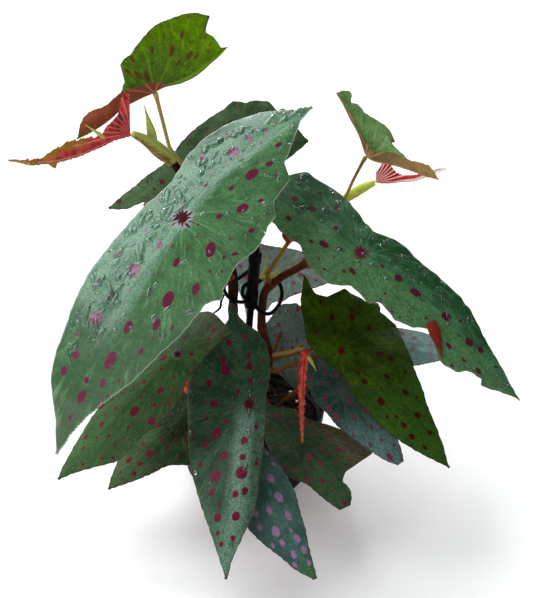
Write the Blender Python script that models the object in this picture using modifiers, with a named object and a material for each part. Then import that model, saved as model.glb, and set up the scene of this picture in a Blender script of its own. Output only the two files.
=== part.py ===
"""Potted begonia amphioxus: pot, potting mix, canes, spotted leaves and a support stake."""

import math

import bmesh
import bpy
import numpy as np

MM = 0.001
NAME = "potted_begonia"

# Pot, in millimetres
POT_HEIGHT = 42.5
POT_TOP_RADIUS = 40.0
POT_BASE_RADIUS = 33.0
POT_WALL = 1.4
POT_FLOOR = 1.8
LIP_DEPTH = 6.0
LIP_STEP = 1.3
DRAIN_HOLES = 6
DRAIN_RADIUS = 3.0
DRAIN_AT = 20.0
POT_STEPS = 40

# Potting mix
MIX_EDGE_HEIGHT = 36.5
MIX_CENTRE_HEIGHT = 39.0
MIX_STEPS = 36
HOLE_FLOOR = 16.0
HOLE_MARGIN = 0.6

# Clearance left between neighbouring pieces
GAP = 0.3

# Stems: centre line from the foot up, and the radius at its foot and tip
STEMS = {
    "cane_left": {
        "line": [
            (-11, -2, 18), (-11, -2, 42), (-11.8, -2, 62), (-13.8, -3, 92),
            (-17.2, -3, 124), (-24, -2, 143), (-36, 0, 159), (-50, 2, 174),
        ],
        "radius": (2.6, 2.1),
        "colour": (0.10, 0.045, 0.02),
    },
    "cane_right": {
        "line": [
            (5, 3, 18), (5, 3, 42), (6.6, 3, 72), (2, 2, 86), (1, 2, 99),
            (2, 2.5, 108), (8, 5, 114), (22, 8, 124), (31, 9, 138), (38.5, 10, 160),
        ],
        "radius": (2.7, 1.8),
        "colour": (0.12, 0.045, 0.02),
    },
    "stake": {
        "line": [(-5, 0, 18), (-5, 0, 82), (-5, 0, 146)],
        "radius": (1.9, 1.9),
        "colour": (0.012, 0.012, 0.012),
    },
}

STEM_SAMPLES = 3

# Support clip on the stake
CLIP_FOOT = 99.0
CLIP_TOP = 131.0
CLIP_RADIUS = 3.1
CLIP_WIRE = 0.9
CLIP_RINGS = (
    {"centre": (-14.5, -1.5, 107), "radius": 6.3, "axis": (0.0, -0.14, 0.99)},
    {"centre": (4.1, 2.0, 102.3), "radius": 6.8, "axis": (0.0, -0.8, 0.6)},
)
CLIP_TAIL = [(-19.5, -4.5, 107), (-20.5, -6, 104), (-21, -7, 100), (-24, -7.5, 97)]

# Leaves
BLADE = 0.8
YOUNG_BLADE = 1.5
COLUMNS = 3
CURL_WIDTH = 30.0
LEAST_WIDTH = 0.6
LONG_LEAF = 150.0
STATIONS = (0, 0.04, 0.1, 0.18, 0.27, 0.36, 0.45, 0.55, 0.65, 0.75, 0.85, 0.93, 1)
DEEP_GREEN = (0.035, 0.09, 0.03)
BLUE_GREEN = (0.05, 0.10, 0.075)
OLIVE = (0.04, 0.07, 0.01)
BRIGHT_GREEN = (0.10, 0.20, 0.02)
CRIMSON = (0.35, 0.02, 0.03)
YELLOW_GREEN = (0.35, 0.38, 0.08)

# Each leaf: midrib from the short tip to the long tip, the way its upper side
# faces, fold and curl of the left and right half in degrees, and half widths
# at the stations. "heart" counts along the midrib to where the stalk joins.
LEAVES = {
    "leaf_front_left": {
        "midrib": [
            (17, 0, 211), (-6, -18, 198), (-26, -38, 183), (-40, -58, 169),
            (-56, -78, 144), (-69, -92, 117), (-81, -99, 89), (-89, -103, 62),
        ],
        "faces": (-0.2, -0.5, 0.84),
        "fold": [(0, 6, -14)],
        "curl": (-8, -20),
        "left": (0, 4.5, 14, 20, 21, 17, 20.5, 24, 25.5, 24, 19, 7.5, 0),
        "right": (0, 4.5, 14, 25, 34, 39.5, 37.5, 32.5, 26, 20, 12, 5, 0),
        "wave": (0.5, 5),
        "heart": 3,
        "stalk": {"on": "cane_left", "height": 118, "via": [(-30, -36, 146), (-22, -15, 128)], "radius": 1.7},
        "colour": DEEP_GREEN,
    },
    "leaf_front_right": {
        "midrib": [(-3, 0, 167), (16, -12, 161), (47, -32, 149), (82, -48, 132), (109, -58, 112), (131, -63, 92)],
        "faces": (0.15, -0.5, 0.85),
        "fold": [(0, -15, 6)],
        "curl": (-20, -8),
        "left": (0, 9, 11.5, 14, 20, 20.5, 17.5, 15.5, 12.5, 16, 10.5, 6, 0),
        "right": (0, 18, 20.5, 22, 20, 18.5, 18.5, 15.5, 13.5, 11, 7, 3, 0),
        "teeth": [("left", 0.8, 1.5, 0.03), ("left", 0.91, 1.2, 0.03)],
        "wave": (0.6, 6),
        "heart": 2,
        "stalk": {
            "on": "cane_right", "height": 111.5,
            "via": [(36, -16, 144), (20, 3, 144), (9, 7, 136), (4, 7, 125)],
            "radius": 1.5,
        },
        "slivers": [((2.8, 6, 118), (-1, 7, 129), 1.1), ((3.6, 6.5, 120), (8.5, 8, 127), 1.8)],
        "colour": DEEP_GREEN,
    },
    "leaf_back_left": {
        "midrib": [(17, 22, 186), (-3, 23, 184), (-27, 23, 174), (-56, 20, 158), (-84, 14, 142)],
        "faces": (-0.1, -0.8, 0.6),
        "fold": [(0, -4, -6)],
        "curl": (-8, -12),
        "left": (0, 5, 16, 22.5, 25, 24, 21, 16.5, 10, 7, 4.5, 2.5, 0),
        "right": (0, 5, 11, 18, 23, 25, 25, 22, 16, 9, 5.5, 4.5, 0),
        "teeth": [("left", 0.32, 2.5, 0.03)],
        "wave": (0.5, 4),
        "heart": 2,
        "stalk": {"on": "cane_left", "height": 137, "via": [(-25, 28, 153), (-22, 14, 138)], "radius": 1.5},
        "colour": DEEP_GREEN,
    },
    "leaf_top_left": {
        "midrib": [(-27, 8, 235), (-42, 3, 222), (-61, -5, 213), (-78, -12, 203), (-86, -17, 196), (-96, -20, 190)],
        "faces": (0.0, 0.1, 1.0),
        "fold": [(0, 55, 8), (0.36, 58, 8), (0.42, 60, 14), (0.55, 70, 70), (1, 80, 80)],
        "curl": (10, 10),
        "left": (22, 26, 29, 30.5, 31, 30, 26, 20, 7, 5.5, 8.5, 7, 0),
        "right": (0, 5, 9, 12.5, 14, 12, 9, 7, 8, 7.5, 10, 7, 0),
        "teeth": [("left", 0.5, 2, 0.05)],
        "notch": 2.5,
        "wave": (0.0, 0),
        "heart": 2,
        "stalk": {"on": "cane_left", "height": 169, "drop": 1.5, "via": [(-53.4, 9, 180)], "radius": 1.1},
        "colour": BRIGHT_GREEN,
    },
    "leaf_top_right": {
        "midrib": [(28.5, 14, 215), (35.3, 10, 206), (42.2, 5, 196), (46.6, 0, 188), (62, -4, 186), (73, -7, 184), (83, -8, 182)],
        "faces": (0.55, 0.1, 0.8),
        "fold": [(0, 20, 50), (0.3, 40, 55), (0.55, 75, 60), (1, 80, 70)],
        "curl": (0, 10),
        "left": (3, 2.5, 2, 3.5, 2, 3, 5, 5, 6, 4.5, 5.5, 4.5, 0),
        "right": (7, 8, 6, 9, 11.5, 15.5, 17, 18, 8.5, 5.5, 5, 3.5, 0),
        "teeth": [("right", 0.9, 1.5, 0.04)],
        "wave": (0.0, 0),
        "heart": 3,
        "stalk": {"on": "cane_right", "height": 157, "drop": 1.5, "via": [(41.6, 4, 174)], "radius": 0.9},
        "colour": BRIGHT_GREEN,
    },
    "leaf_right_low": {
        "midrib": [(21, -8, 124), (32, -22, 110), (43, -36, 96), (59, -50, 86), (79, -64, 72), (100, -75, 57)],
        "faces": (0.2, -0.75, 0.6),
        "fold": [(0, -8, -8)],
        "curl": (-15, -15),
        "left": (0, 3, 7.5, 10.5, 13, 10, 7.5, 10.5, 10.5, 9.5, 6.5, 3, 0),
        "right": (0, 1, 5, 30, 39, 41, 36, 30, 23.5, 17, 11, 5.5, 0),
        "wave": (0.5, 5),
        "heart": 2,
        "stalk": {"on": "cane_right", "height": 62, "via": [(32.3, -20, 83.8), (23.7, -12, 74), (16.1, -6, 68.2)], "radius": 1.3},
        "colour": OLIVE,
    },
    "leaf_front": {
        "midrib": [(-14.5, -37, 117.7), (-8, -54, 98), (-1, -72, 81), (0, -95, 63), (-1, -118, 42), (-4, -131, 20)],
        "faces": (0.0, -0.75, 0.66),
        "fold": [(0, -10, -10)],
        "curl": (-18, -18),
        "left": (0, 4, 8, 19, 29.5, 32, 31.5, 29.5, 25.5, 20, 13, 6, 0),
        "right": (0, 5, 11, 15, 14, 9, 8, 8, 7.5, 7, 3.5, 1, 0),
        "wave": (0.4, 5),
        "heart": 2,
        "stalk": {"on": "cane_left", "height": 64, "via": [(-3, -45, 70), (-7, -20, 66)], "radius": 1.6},
        "colour": DEEP_GREEN,
    },
    "leaf_left_mid": {
        "midrib": [(-12.3, -60, 113), (-24.6, -63, 107.8), (-37.5, -67, 102), (-51.8, -74, 87.7), (-71.2, -83, 64.6), (-90.3, -90, 39.6)],
        "faces": (-0.25, -0.6, 0.76),
        "fold": [(0, -10, -12)],
        "curl": (-15, -15),
        "left": (0, 14.5, 21, 22.5, 20.5, 19, 17.5, 15, 12.5, 9.5, 6.5, 4, 0),
        "right": (0, 1.5, 4.5, 9, 12.5, 16.5, 18.5, 17.5, 16.5, 16, 9.5, 4, 0),
        "wave": (0.4, 4),
        "heart": 2,
        "stalk": {"on": "cane_left", "height": 82, "via": [(-44, -50, 92), (-37, -32, 86), (-24, -13, 83)], "radius": 1.4},
        "colour": DEEP_GREEN,
    },
    "leaf_left_low": {
        "midrib": [(-17, -22, 70), (-25, -34, 63), (-35, -48, 54), (-51, -62, 40), (-68, -71, 24)],
        "faces": (-0.2, -0.7, 0.68),
        "fold": [(0, -10, -10)],
        "curl": (-12, -12),
        "left": (0, 13, 16.5, 18.5, 18.5, 19, 19, 17, 15, 12, 9, 5, 0),
        "right": (0, 5, 12, 15, 19, 21, 23, 20, 12, 9, 6, 3, 0),
        "wave": (0.4, 4),
        "heart": 2,
        "stalk": {"on": "cane_left", "height": 49, "via": [(-30, -38, 48), (-18, -18, 48)], "radius": 1.3},
        "colour": DEEP_GREEN,
    },
    "leaf_front_low": {
        "midrib": [(-14, -52, 64), (-6, -64, 59), (3, -78, 54), (21, -108, 40), (37, -130, 24)],
        "faces": (0.15, -0.7, 0.7),
        "fold": [(0, -8, -8)],
        "curl": (-12, -12),
        "left": (0, 5.5, 10, 13, 16, 18, 19, 19, 17, 14, 9, 5.5, 0.5),
        "right": (0, 5.5, 8, 9, 9, 11, 12, 12, 10, 8, 5, 3, 1.5),
        "wave": (0.3, 4),
        "heart": 2,
        "stalk": {"on": "cane_right", "height": 51, "via": [(1, -55, 49), (3, -25, 50)], "radius": 1.3},
        "colour": BLUE_GREEN,
    },
    "leaf_right_front": {
        "midrib": [(5, -24, 56), (13, -34, 54), (24, -48, 51), (37, -68, 45), (50, -83, 33)],
        "faces": (0.2, -0.65, 0.73),
        "fold": [(0, -5, -5)],
        "curl": (-12, -12),
        "left": (0, 1.5, 5, 9, 13, 15, 16, 16, 15, 10, 7, 4.5, 2),
        "right": (0, 1.5, 4.5, 11, 12, 16, 26, 32, 33, 28, 9, 7, 4),
        "wave": (0.3, 4),
        "heart": 2,
        "stalk": {"on": "cane_right", "height": 45, "via": [(20, -34, 46), (12, -14, 45)], "radius": 1.2},
        "colour": DEEP_GREEN,
    },
    "leaf_right_mid": {
        "midrib": [(30, -8, 80), (37, -18, 76), (47, -30, 71), (62, -46, 61), (78, -60, 48)],
        "faces": (0.2, -0.7, 0.68),
        "fold": [(0, -6, -6)],
        "curl": (-12, -12),
        "left": (0, 3.5, 7, 12, 15, 16, 15, 15, 13, 11, 8, 5.5, 2),
        "right": (0, 7, 10, 12, 13, 13, 13, 12, 11, 9, 7, 5, 2),
        "wave": (0.3, 4),
        "heart": 2,
        "stalk": {"on": "mix", "foot": (14, -1, 30), "via": [(38, -22, 66), (25, -13, 60), (17, -5, 47)], "radius": 1.2},
        "colour": BLUE_GREEN,
    },
    "leaf_back_mid": {
        "midrib": [(-22, 28, 118), (-12, 26, 117.5), (-2, 24.5, 116.5), (13, 22, 114.5), (25, 19, 112.5), (36, 16, 110)],
        "faces": (0.0, -0.95, 0.3),
        "fold": [(0, -3, -3)],
        "curl": (-8, -8),
        "left": (0, 8, 14, 19, 26, 36, 35, 19, 17, 13, 8, 4, 0),
        "right": (0, 3, 5, 7, 8, 8, 8.5, 9.5, 10, 9, 7, 3.5, 0),
        "wave": (0.0, 0),
        "heart": 3,
        "stalk": {"on": "cane_right", "height": 112, "via": [(15, 15, 116)], "radius": 1.1},
        "colour": BLUE_GREEN,
    },
    "leaf_back_low": {
        "midrib": [(19, 16, 96), (18, 17, 84), (18, 16, 70), (22, 12, 57), (28, 8, 44)],
        "faces": (0.0, -0.85, 0.5),
        "fold": [(0, -5, -5)],
        "curl": (-12, -12),
        "left": (0, 6, 9, 11, 13.5, 15.5, 15, 13, 10, 7, 5, 2.5, 0),
        "right": (0, 4, 6, 8, 10, 11, 12, 13, 14, 13, 11, 8, 0),
        "wave": (0.0, 0),
        "heart": 1,
        "stalk": {"on": "cane_right", "height": 68, "via": [(12, 17, 76)], "radius": 1.0},
        "colour": BLUE_GREEN,
    },
    "leaf_back_right": {
        "midrib": [(55, -8, 91), (65, -10, 90), (78, -12, 90), (89, -14, 90), (102, -15, 91)],
        "faces": (0.1, -0.7, 0.7),
        "fold": [(0, -5, -5)],
        "curl": (-12, -12),
        "left": (0, 2.5, 5, 7, 9, 11, 11, 10, 9, 7, 5.5, 3.5, 0),
        "right": (0, 3.5, 9, 10, 10, 10, 10, 10, 10, 9, 7, 4.5, 0),
        "wave": (0.0, 0),
        "heart": 1,
        "stalk": {"on": "cane_right", "height": 67, "via": [(44, 0, 82), (24, 4, 73), (15, 6, 69)], "radius": 1.0},
        "colour": BLUE_GREEN,
    },
    "leaf_rear_left": {
        "midrib": [(-18, 36, 142), (-30, 46, 145), (-43, 58, 142), (-58, 78, 126), (-70, 98, 98)],
        "faces": (-0.2, 0.5, 0.84),
        "fold": [(0, -8, -8)],
        "curl": (-15, -15),
        "left": (0, 6, 12, 17, 20, 21, 21, 19, 16, 12, 8, 4, 0),
        "right": (0, 6, 12, 17, 20, 21, 21, 19, 16, 12, 8, 4, 0),
        "wave": (0.5, 4),
        "heart": 2,
        "stalk": {"on": "cane_left", "height": 114, "via": [(-36, 50, 134), (-25, 18, 120)], "radius": 1.4},
        "colour": DEEP_GREEN,
    },
    "leaf_rear_right": {
        "midrib": [(24, 30, 118), (36, 40, 122), (50, 52, 118), (68, 70, 104), (84, 88, 82)],
        "faces": (0.2, 0.5, 0.84),
        "fold": [(0, -8, -8)],
        "curl": (-15, -15),
        "left": (0, 5, 9, 13, 15, 16, 16, 15, 13, 10, 7, 4, 0),
        "right": (0, 5, 9, 13, 15, 16, 16, 15, 13, 10, 7, 4, 0),
        "wave": (0.5, 4),
        "heart": 2,
        "stalk": {"on": "cane_left", "height": 130, "via": [(34, 42, 110), (0.4, 37, 114.3), (-12, 19, 134)], "radius": 1.3},
        "colour": DEEP_GREEN,
    },
}

# Young leaves still pressed shut, seen from the side: one half carries the shape
YOUNG = {
    "young_leaf_left": {
        "midrib": [
            (-70.4, -18, 194.8), (-80, -20, 190.7), (-86, -21.5, 187.5), (-96.2, -24, 182.8),
            (-103.2, -26, 180.8), (-117.6, -27, 178.4), (-128.1, -28, 178.8),
        ],
        "faces": (0.0, -1.0, 0.0),
        "left": (18, 18.4, 12, 8, 5.8, 6.8, 7.3, 7.2, 5.2, 2, 1.6, 1.2, 0.5),
        "lean": 19,
        "right": (1, 1, 1, 1, 1, 1, 1, 1, 1, 1, 1, 0.8, 0.5),
        "teeth": [("right", 0.66, 3, 0.04)],
        "slivers": [((-82, -19.8, 191.5), (-92, -21, 198), 1.2)],
        "colour": CRIMSON,
    },
    "young_leaf_right": {
        "midrib": [(53.1, 7, 172.9), (60.3, 7, 173.5), (67.8, 7, 175), (72.8, 7, 176), (79.1, 7, 179), (87.7, 7, 183.1)],
        "faces": (0.0, -1.0, 0.0),
        "left": (0.5, 1, 1, 1, 1, 1, 1, 1, 1, 1, 0.8, 0.6, 0),
        "right": (5, 7, 10.8, 12.3, 6, 3.2, 2.4, 2.1, 1.9, 1.6, 1.2, 1, 0),
        "colour": CRIMSON,
    },
    "young_leaf_low": {
        "midrib": [(25.5, -22.5, 88), (24.8, -32, 77), (25.4, -42, 69), (28, -60, 50)],
        "faces": (0.0, -1.0, 0.0),
        "left": (2, 2.4, 2.6, 2.6, 2.6, 2.6, 2.5, 2.4, 2.2, 2, 1.5, 1, 0),
        "right": (2, 2.4, 2.6, 2.6, 2.6, 2.6, 2.5, 2.4, 2.2, 2, 1.5, 1, 0),
        "slivers": [((27, -24, 85), (32, -26, 78), 1.2)],
        "colour": CRIMSON,
    },
    "young_leaf_base": {
        "midrib": [(-33.7, -36, 79.8), (-35.2, -37, 72.8), (-33.6, -38, 64.8)],
        "faces": (0.0, -1.0, 0.0),
        "left": (1, 1.4, 1.6, 1.7, 1.8, 1.8, 1.8, 1.7, 1.6, 1.4, 1.2, 0.9, 0),
        "right": (1, 1.4, 1.6, 1.7, 1.8, 1.8, 1.8, 1.7, 1.6, 1.4, 1.2, 0.9, 0),
        "colour": CRIMSON,
    },
}

# Green shoots that carry the young leaves, with their pointed bud scales
SHOOTS = {
    "shoot_left": {
        "line": [
            (-50.7, 2, 174.9), (-52.8, 1.4, 177.2), (-57.1, -2, 181.7),
            (-61.9, -6, 186.8), (-66.5, -10, 190.7), (-69.6, -13, 192.9),
        ],
        "radius": (2.8, 3.8, 3.8, 3.2, 2.4, 1.7),
        "slivers": [((-60, -4, 185.5), (-66, -3, 205.1), 3.0)],
        "colour": YELLOW_GREEN,
    },
    "shoot_right": {
        "line": [(39, 10, 161), (42.1, 9.5, 163.7), (46.9, 9, 167.7), (52.6, 8, 171.6)],
        "radius": (2.4, 3, 2.8, 1.3),
        "slivers": [],
        "colour": YELLOW_GREEN,
    },
    "shoot_low": {
        "line": [(9.9, 1.2, 70.8), (14, -5, 75), (19, -11.5, 80), (23, -17, 84.8), (25.3, -21.5, 87.4)],
        "radius": (1.7, 1.7, 1.7, 1.7, 1.1),
        "slivers": [((20, -13, 81.5), (25.5, -15, 90), 1.5)],
        "colour": (0.25, 0.15, 0.03),
    },
    "shoot_base": {
        "line": [(-13.6, -4.8, 66), (-20, -14, 72), (-30, -32.6, 81.4), (-33.1, -35.1, 80.4)],
        "radius": (1.0, 0.8),
        "slivers": [],
        "colour": (0.25, 0.10, 0.03),
    },
}


def collection_of(name, hidden=False):
    found = bpy.data.collections.new(name)
    bpy.context.scene.collection.children.link(found)
    found.hide_render = hidden
    return found


def smooth(at, values, wanted):
    """A smooth curve through the values at these stations."""
    at = np.asarray(at, float)
    values = np.asarray(values, float)
    slopes = np.gradient(values, at, axis=0)
    low = np.clip(np.searchsorted(at, wanted, side="right") - 1, 0, len(at) - 2)
    shape = (-1,) + (1,) * (values.ndim - 1)
    step = (at[low + 1] - at[low]).reshape(shape)
    t = (np.asarray(wanted, float) - at[low]).reshape(shape) / step
    return (
        (2 * t**3 - 3 * t**2 + 1) * values[low]
        + (t**3 - 2 * t**2 + t) * step * slopes[low]
        + (3 * t**2 - 2 * t**3) * values[low + 1]
        + (t**3 - t**2) * step * slopes[low + 1]
    )


def lengths(points):
    """How far along a line each of its points is, from 0 to 1."""
    steps = np.linalg.norm(np.diff(np.asarray(points, float), axis=0), axis=1)
    return np.concatenate([[0.0], np.cumsum(steps)]) / steps.sum()


def along(points, wanted):
    return smooth(lengths(points), points, wanted)


def unit(rows):
    rows = np.asarray(rows, float)
    return rows / np.linalg.norm(rows, axis=-1, keepdims=True)


def frames(leaf, at):
    """Points of the midrib, with the directions ahead, to the left and up out of the blade."""
    at = np.asarray(at, float)
    middle = along(leaf["midrib"], at)
    ahead = along(leaf["midrib"], np.minimum(at + 1e-3, 1))
    behind = along(leaf["midrib"], np.maximum(at - 1e-3, 0))
    forward = unit(ahead - behind)
    left = unit(np.cross(forward, leaf["faces"]))
    return middle, forward, left, np.cross(left, forward)


def half_width(leaf, side, at):
    width = smooth(STATIONS, leaf[side], at)
    for tooth_side, where, out, reach in leaf.get("teeth", []):
        if tooth_side == side:
            width = width + out * np.clip(1 - np.abs(at - where) / reach, 0, 1)
    return np.maximum(width, LEAST_WIDTH)


def blade_points(leaf, at, across):
    """Points of the blade: at runs from tip to tip, across from 1 on the left margin to -1 on the right."""
    at = np.asarray(at, float)
    middle, forward, left, up = frames(leaf, at)
    side, sign = ("left", 1) if across > 0 else ("right", -1)
    fold_rows = np.array(leaf.get("fold", [(0, 0, 0)]), float).T
    fold = np.radians(np.interp(at, fold_rows[0], fold_rows[1 if sign > 0 else 2]))
    curl = math.radians(leaf.get("curl", (0, 0))[0 if sign > 0 else 1]) / CURL_WIDTH
    width = half_width(leaf, side, at) * abs(across)
    if abs(curl) < 1e-9:
        out = width * np.cos(fold)
        rise = width * np.sin(fold)
    else:
        out = (np.sin(fold + curl * width) - np.sin(fold)) / curl
        rise = (np.cos(fold) - np.cos(fold + curl * width)) / curl
    height, count = leaf.get("wave", (0, 0))
    rise = rise + height * across**2 * np.sin(2 * math.pi * count * at + sign)
    ahead = -math.tan(math.radians(leaf.get("lean", 0))) * width
    ahead = ahead + leaf.get("notch", 0) * math.sin(math.pi * abs(across)) * np.clip(1 - at / 0.12, 0, 1)
    return middle + sign * left * out[:, None] + up * rise[:, None] + forward * ahead[:, None]


def rows_of(leaf):
    rows = list(STATIONS)
    steps = np.linalg.norm(np.diff(np.asarray(leaf["midrib"], float), axis=0), axis=1)
    if steps.sum() > LONG_LEAF:
        rows += [(a + b) / 2 for a, b in zip(STATIONS, STATIONS[1:])]
    for _, where, _, reach in leaf.get("teeth", []):
        rows += [where - reach, where, where + reach]
    if "heart" in leaf:
        heart = lengths(leaf["midrib"])[leaf["heart"]]
        rows = [row for row in rows if abs(row - heart) > 0.02] + [heart]
    return np.array(sorted(rows))


def add_object(name, mesh, home):
    obj = bpy.data.objects.new(name, mesh)
    home.objects.link(obj)
    return obj


def blade(name, leaf, thickness, home):
    """The blade as one closed sheet."""
    rows = rows_of(leaf)
    columns = np.linspace(1, -1, 2 * COLUMNS + 1)
    grid = np.stack([blade_points(leaf, rows, across) for across in columns])
    bm = bmesh.new()
    bmesh.ops.create_grid(bm, x_segments=2 * COLUMNS, y_segments=len(rows) - 1, size=1)
    for vertex in bm.verts:
        column = round((vertex.co.x + 1) * COLUMNS)
        row = round((vertex.co.y + 1) / 2 * (len(rows) - 1))
        vertex.co = grid[column, row] * MM
    bmesh.ops.triangulate(bm, faces=bm.faces[:])
    mesh = bpy.data.meshes.new(name)
    bm.to_mesh(mesh)
    bm.free()
    obj = add_object(name, mesh, home)
    sheet = obj.modifiers.new("Thickness", "SOLIDIFY")
    sheet.thickness = thickness * MM
    sheet.offset = 0
    return obj


def tube(name, line, radii, home, samples=2, resolution=1):
    """A round stem along a smooth line through the points."""
    count = samples * (len(line) - 1) + 1
    where = np.linspace(0, 1, count)
    points = along(line, where) if len(line) > 2 else np.array([line[0], line[1]], float)
    curve = bpy.data.curves.new(name, "CURVE")
    curve.dimensions = "3D"
    curve.bevel_depth = MM
    curve.bevel_resolution = resolution
    curve.use_fill_caps = True
    spline = curve.splines.new("POLY")
    spline.points.add(len(points) - 1)
    for i, point in enumerate(points):
        spline.points[i].co = (*(point * MM), 1)
        spline.points[i].radius = np.interp(i / (len(points) - 1), np.linspace(0, 1, len(radii)), radii)
    shape = bpy.data.objects.new(name + "_line", curve)
    home.objects.link(shape)
    bpy.context.view_layer.update()
    mesh = bpy.data.meshes.new_from_object(shape)
    bpy.data.objects.remove(shape)
    bm = bmesh.new()
    bm.from_mesh(mesh)
    bmesh.ops.remove_doubles(bm, verts=bm.verts[:], dist=1e-6)
    bmesh.ops.recalc_face_normals(bm, faces=bm.faces[:])
    bm.to_mesh(mesh)
    bm.free()
    mesh.name = name
    return add_object(name, mesh, home)


def sliver(name, base, tip, width, home):
    """A pointed bud scale."""
    return tube(name, [base, tip], (width, 0.3), home)


def applied(obj):
    """The object with its modifiers applied."""
    bpy.context.view_layer.update()
    graph = bpy.context.evaluated_depsgraph_get()
    mesh = bpy.data.meshes.new_from_object(obj.evaluated_get(graph))
    obj.modifiers.clear()
    obj.data = mesh
    return obj


def fused(first, others, solver="MANIFOLD"):
    """The first object with the others joined to it by one Boolean union."""
    for obj in others:
        applied(obj)
    applied(first)
    joined = collection_of("joined")
    for obj in others:
        for home in list(obj.users_collection):
            home.objects.unlink(obj)
        joined.objects.link(obj)
    union = first.modifiers.new("Union", "BOOLEAN")
    union.operation = "UNION"
    union.operand_type = "COLLECTION"
    union.collection = joined
    union.solver = solver
    applied(first)
    for obj in others:
        bpy.data.objects.remove(obj)
    bpy.data.collections.remove(joined)
    return first


def cut(obj, cutters, hidden):
    """Cuts each cutter from the object and keeps the cutters as wire."""
    for cutter in cutters:
        for home in list(cutter.users_collection):
            home.objects.unlink(cutter)
        hidden.objects.link(cutter)
        cutter.hide_render = True
        cutter.display_type = "WIRE"
        hole = obj.modifiers.new(cutter.name, "BOOLEAN")
        hole.operation = "DIFFERENCE"
        hole.solver = "EXACT"
        hole.object = cutter


def coloured(obj, colour, roughness=0.5):
    material = bpy.data.materials.new(obj.name)
    material.use_nodes = True
    shader = material.node_tree.nodes["Principled BSDF"]
    shader.inputs["Base Color"].default_value = (*colour, 1)
    shader.inputs["Roughness"].default_value = roughness
    obj.data.materials.clear()
    obj.data.materials.append(material)
    return obj


def turned(name, profile, steps, home):
    """A round solid from a profile that runs down its outer side."""
    mesh = bpy.data.meshes.new(name)
    points = [(radius * MM, 0, height * MM) for radius, height in profile]
    closed = profile[0][0] > 0
    edges = [(i, i + 1) for i in range(len(points) - 1)]
    mesh.from_pydata(points, edges + ([(len(points) - 1, 0)] if closed else []), [])
    obj = add_object(name, mesh, home)
    screw = obj.modifiers.new("Turn", "SCREW")
    screw.axis = "Z"
    screw.angle = 2 * math.pi
    screw.steps = steps
    screw.render_steps = steps
    screw.use_merge_vertices = True
    screw.merge_threshold = 0.0001
    screw.use_smooth_shade = False
    return obj


def wall_radius(height):
    return POT_BASE_RADIUS + (POT_TOP_RADIUS - LIP_STEP - POT_BASE_RADIUS) * height / POT_HEIGHT


def build_pot(home, hidden):
    lip_foot = POT_HEIGHT - LIP_DEPTH
    inside = [
        (0, POT_FLOOR),
        (wall_radius(POT_FLOOR) - POT_WALL, POT_FLOOR),
        (wall_radius(lip_foot) - POT_WALL, lip_foot),
        (POT_TOP_RADIUS - POT_WALL - 0.4, lip_foot + 1.6),
        (POT_TOP_RADIUS - POT_WALL, POT_HEIGHT - 0.6),
        (POT_TOP_RADIUS - POT_WALL + 0.4, POT_HEIGHT),
    ]
    outside = [
        (POT_TOP_RADIUS - 0.4, POT_HEIGHT),
        (POT_TOP_RADIUS, POT_HEIGHT - 0.5),
        (POT_TOP_RADIUS - 0.2, lip_foot + 0.4),
        (POT_TOP_RADIUS - 0.6, lip_foot),
        (wall_radius(lip_foot), lip_foot - 0.3),
        (POT_BASE_RADIUS + 0.3, 1.2),
        (POT_BASE_RADIUS - 0.8, 0),
        (0, 0),
    ]
    pot = turned("pot", inside + outside, POT_STEPS, home)
    holes = []
    for i in range(DRAIN_HOLES):
        angle = 2 * math.pi * (i + 0.5) / DRAIN_HOLES
        x = DRAIN_AT * math.cos(angle)
        y = DRAIN_AT * math.sin(angle)
        holes.append(tube(f"drain_{i + 1}", [(x, y, -3), (x, y, POT_FLOOR + 3)], (DRAIN_RADIUS, DRAIN_RADIUS), home, resolution=2))
    cut(pot, holes, hidden)
    coloured(pot, (0.012, 0.012, 0.013), 0.45)


def build_mix(home, hidden):
    floor = POT_FLOOR + GAP
    edge = wall_radius(MIX_EDGE_HEIGHT) - POT_WALL - GAP - 0.1
    profile = [
        (0, MIX_CENTRE_HEIGHT),
        (12, MIX_CENTRE_HEIGHT - 0.3),
        (24, MIX_CENTRE_HEIGHT - 1.0),
        (edge - 4, MIX_EDGE_HEIGHT + 0.2),
        (edge, MIX_EDGE_HEIGHT - 0.6),
        (wall_radius(floor) - POT_WALL - GAP - 0.1, floor),
        (0, floor),
    ]
    mix = turned("potting_mix", profile, MIX_STEPS, home)
    holes = []
    for name, stem in STEMS.items():
        x, y, _ = stem["line"][0]
        radius = stem["radius"][0] + HOLE_MARGIN
        holes.append(tube(name + "_hole", [(x, y, HOLE_FLOOR), (x, y, 50)], (radius, radius), home, resolution=2))
    stalk = LEAVES["leaf_right_mid"]["stalk"]
    x, y, z = stalk["foot"]
    radius = stalk["radius"] + HOLE_MARGIN + 0.6
    holes.append(tube("stalk_hole", [(x, y, z - 1), (x, y, 50)], (radius, radius), home, resolution=2))
    cut(mix, holes, hidden)
    coloured(mix, (0.03, 0.017, 0.009), 0.9)


def stem_point(name, height):
    """A point of the stem's centre line at this height, with the stem's direction and radius there."""
    stem = STEMS[name]
    count = STEM_SAMPLES * (len(stem["line"]) - 1) + 1
    points = along(stem["line"], np.linspace(0, 1, count))
    low = int(np.searchsorted(points[:, 2], height)) - 1
    share = (height - points[low, 2]) / (points[low + 1, 2] - points[low, 2])
    radius = stem["radius"][0] + (stem["radius"][1] - stem["radius"][0]) * (low + share) / (count - 1)
    return points[low] + share * (points[low + 1] - points[low]), unit(points[low + 1] - points[low]), radius


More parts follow.
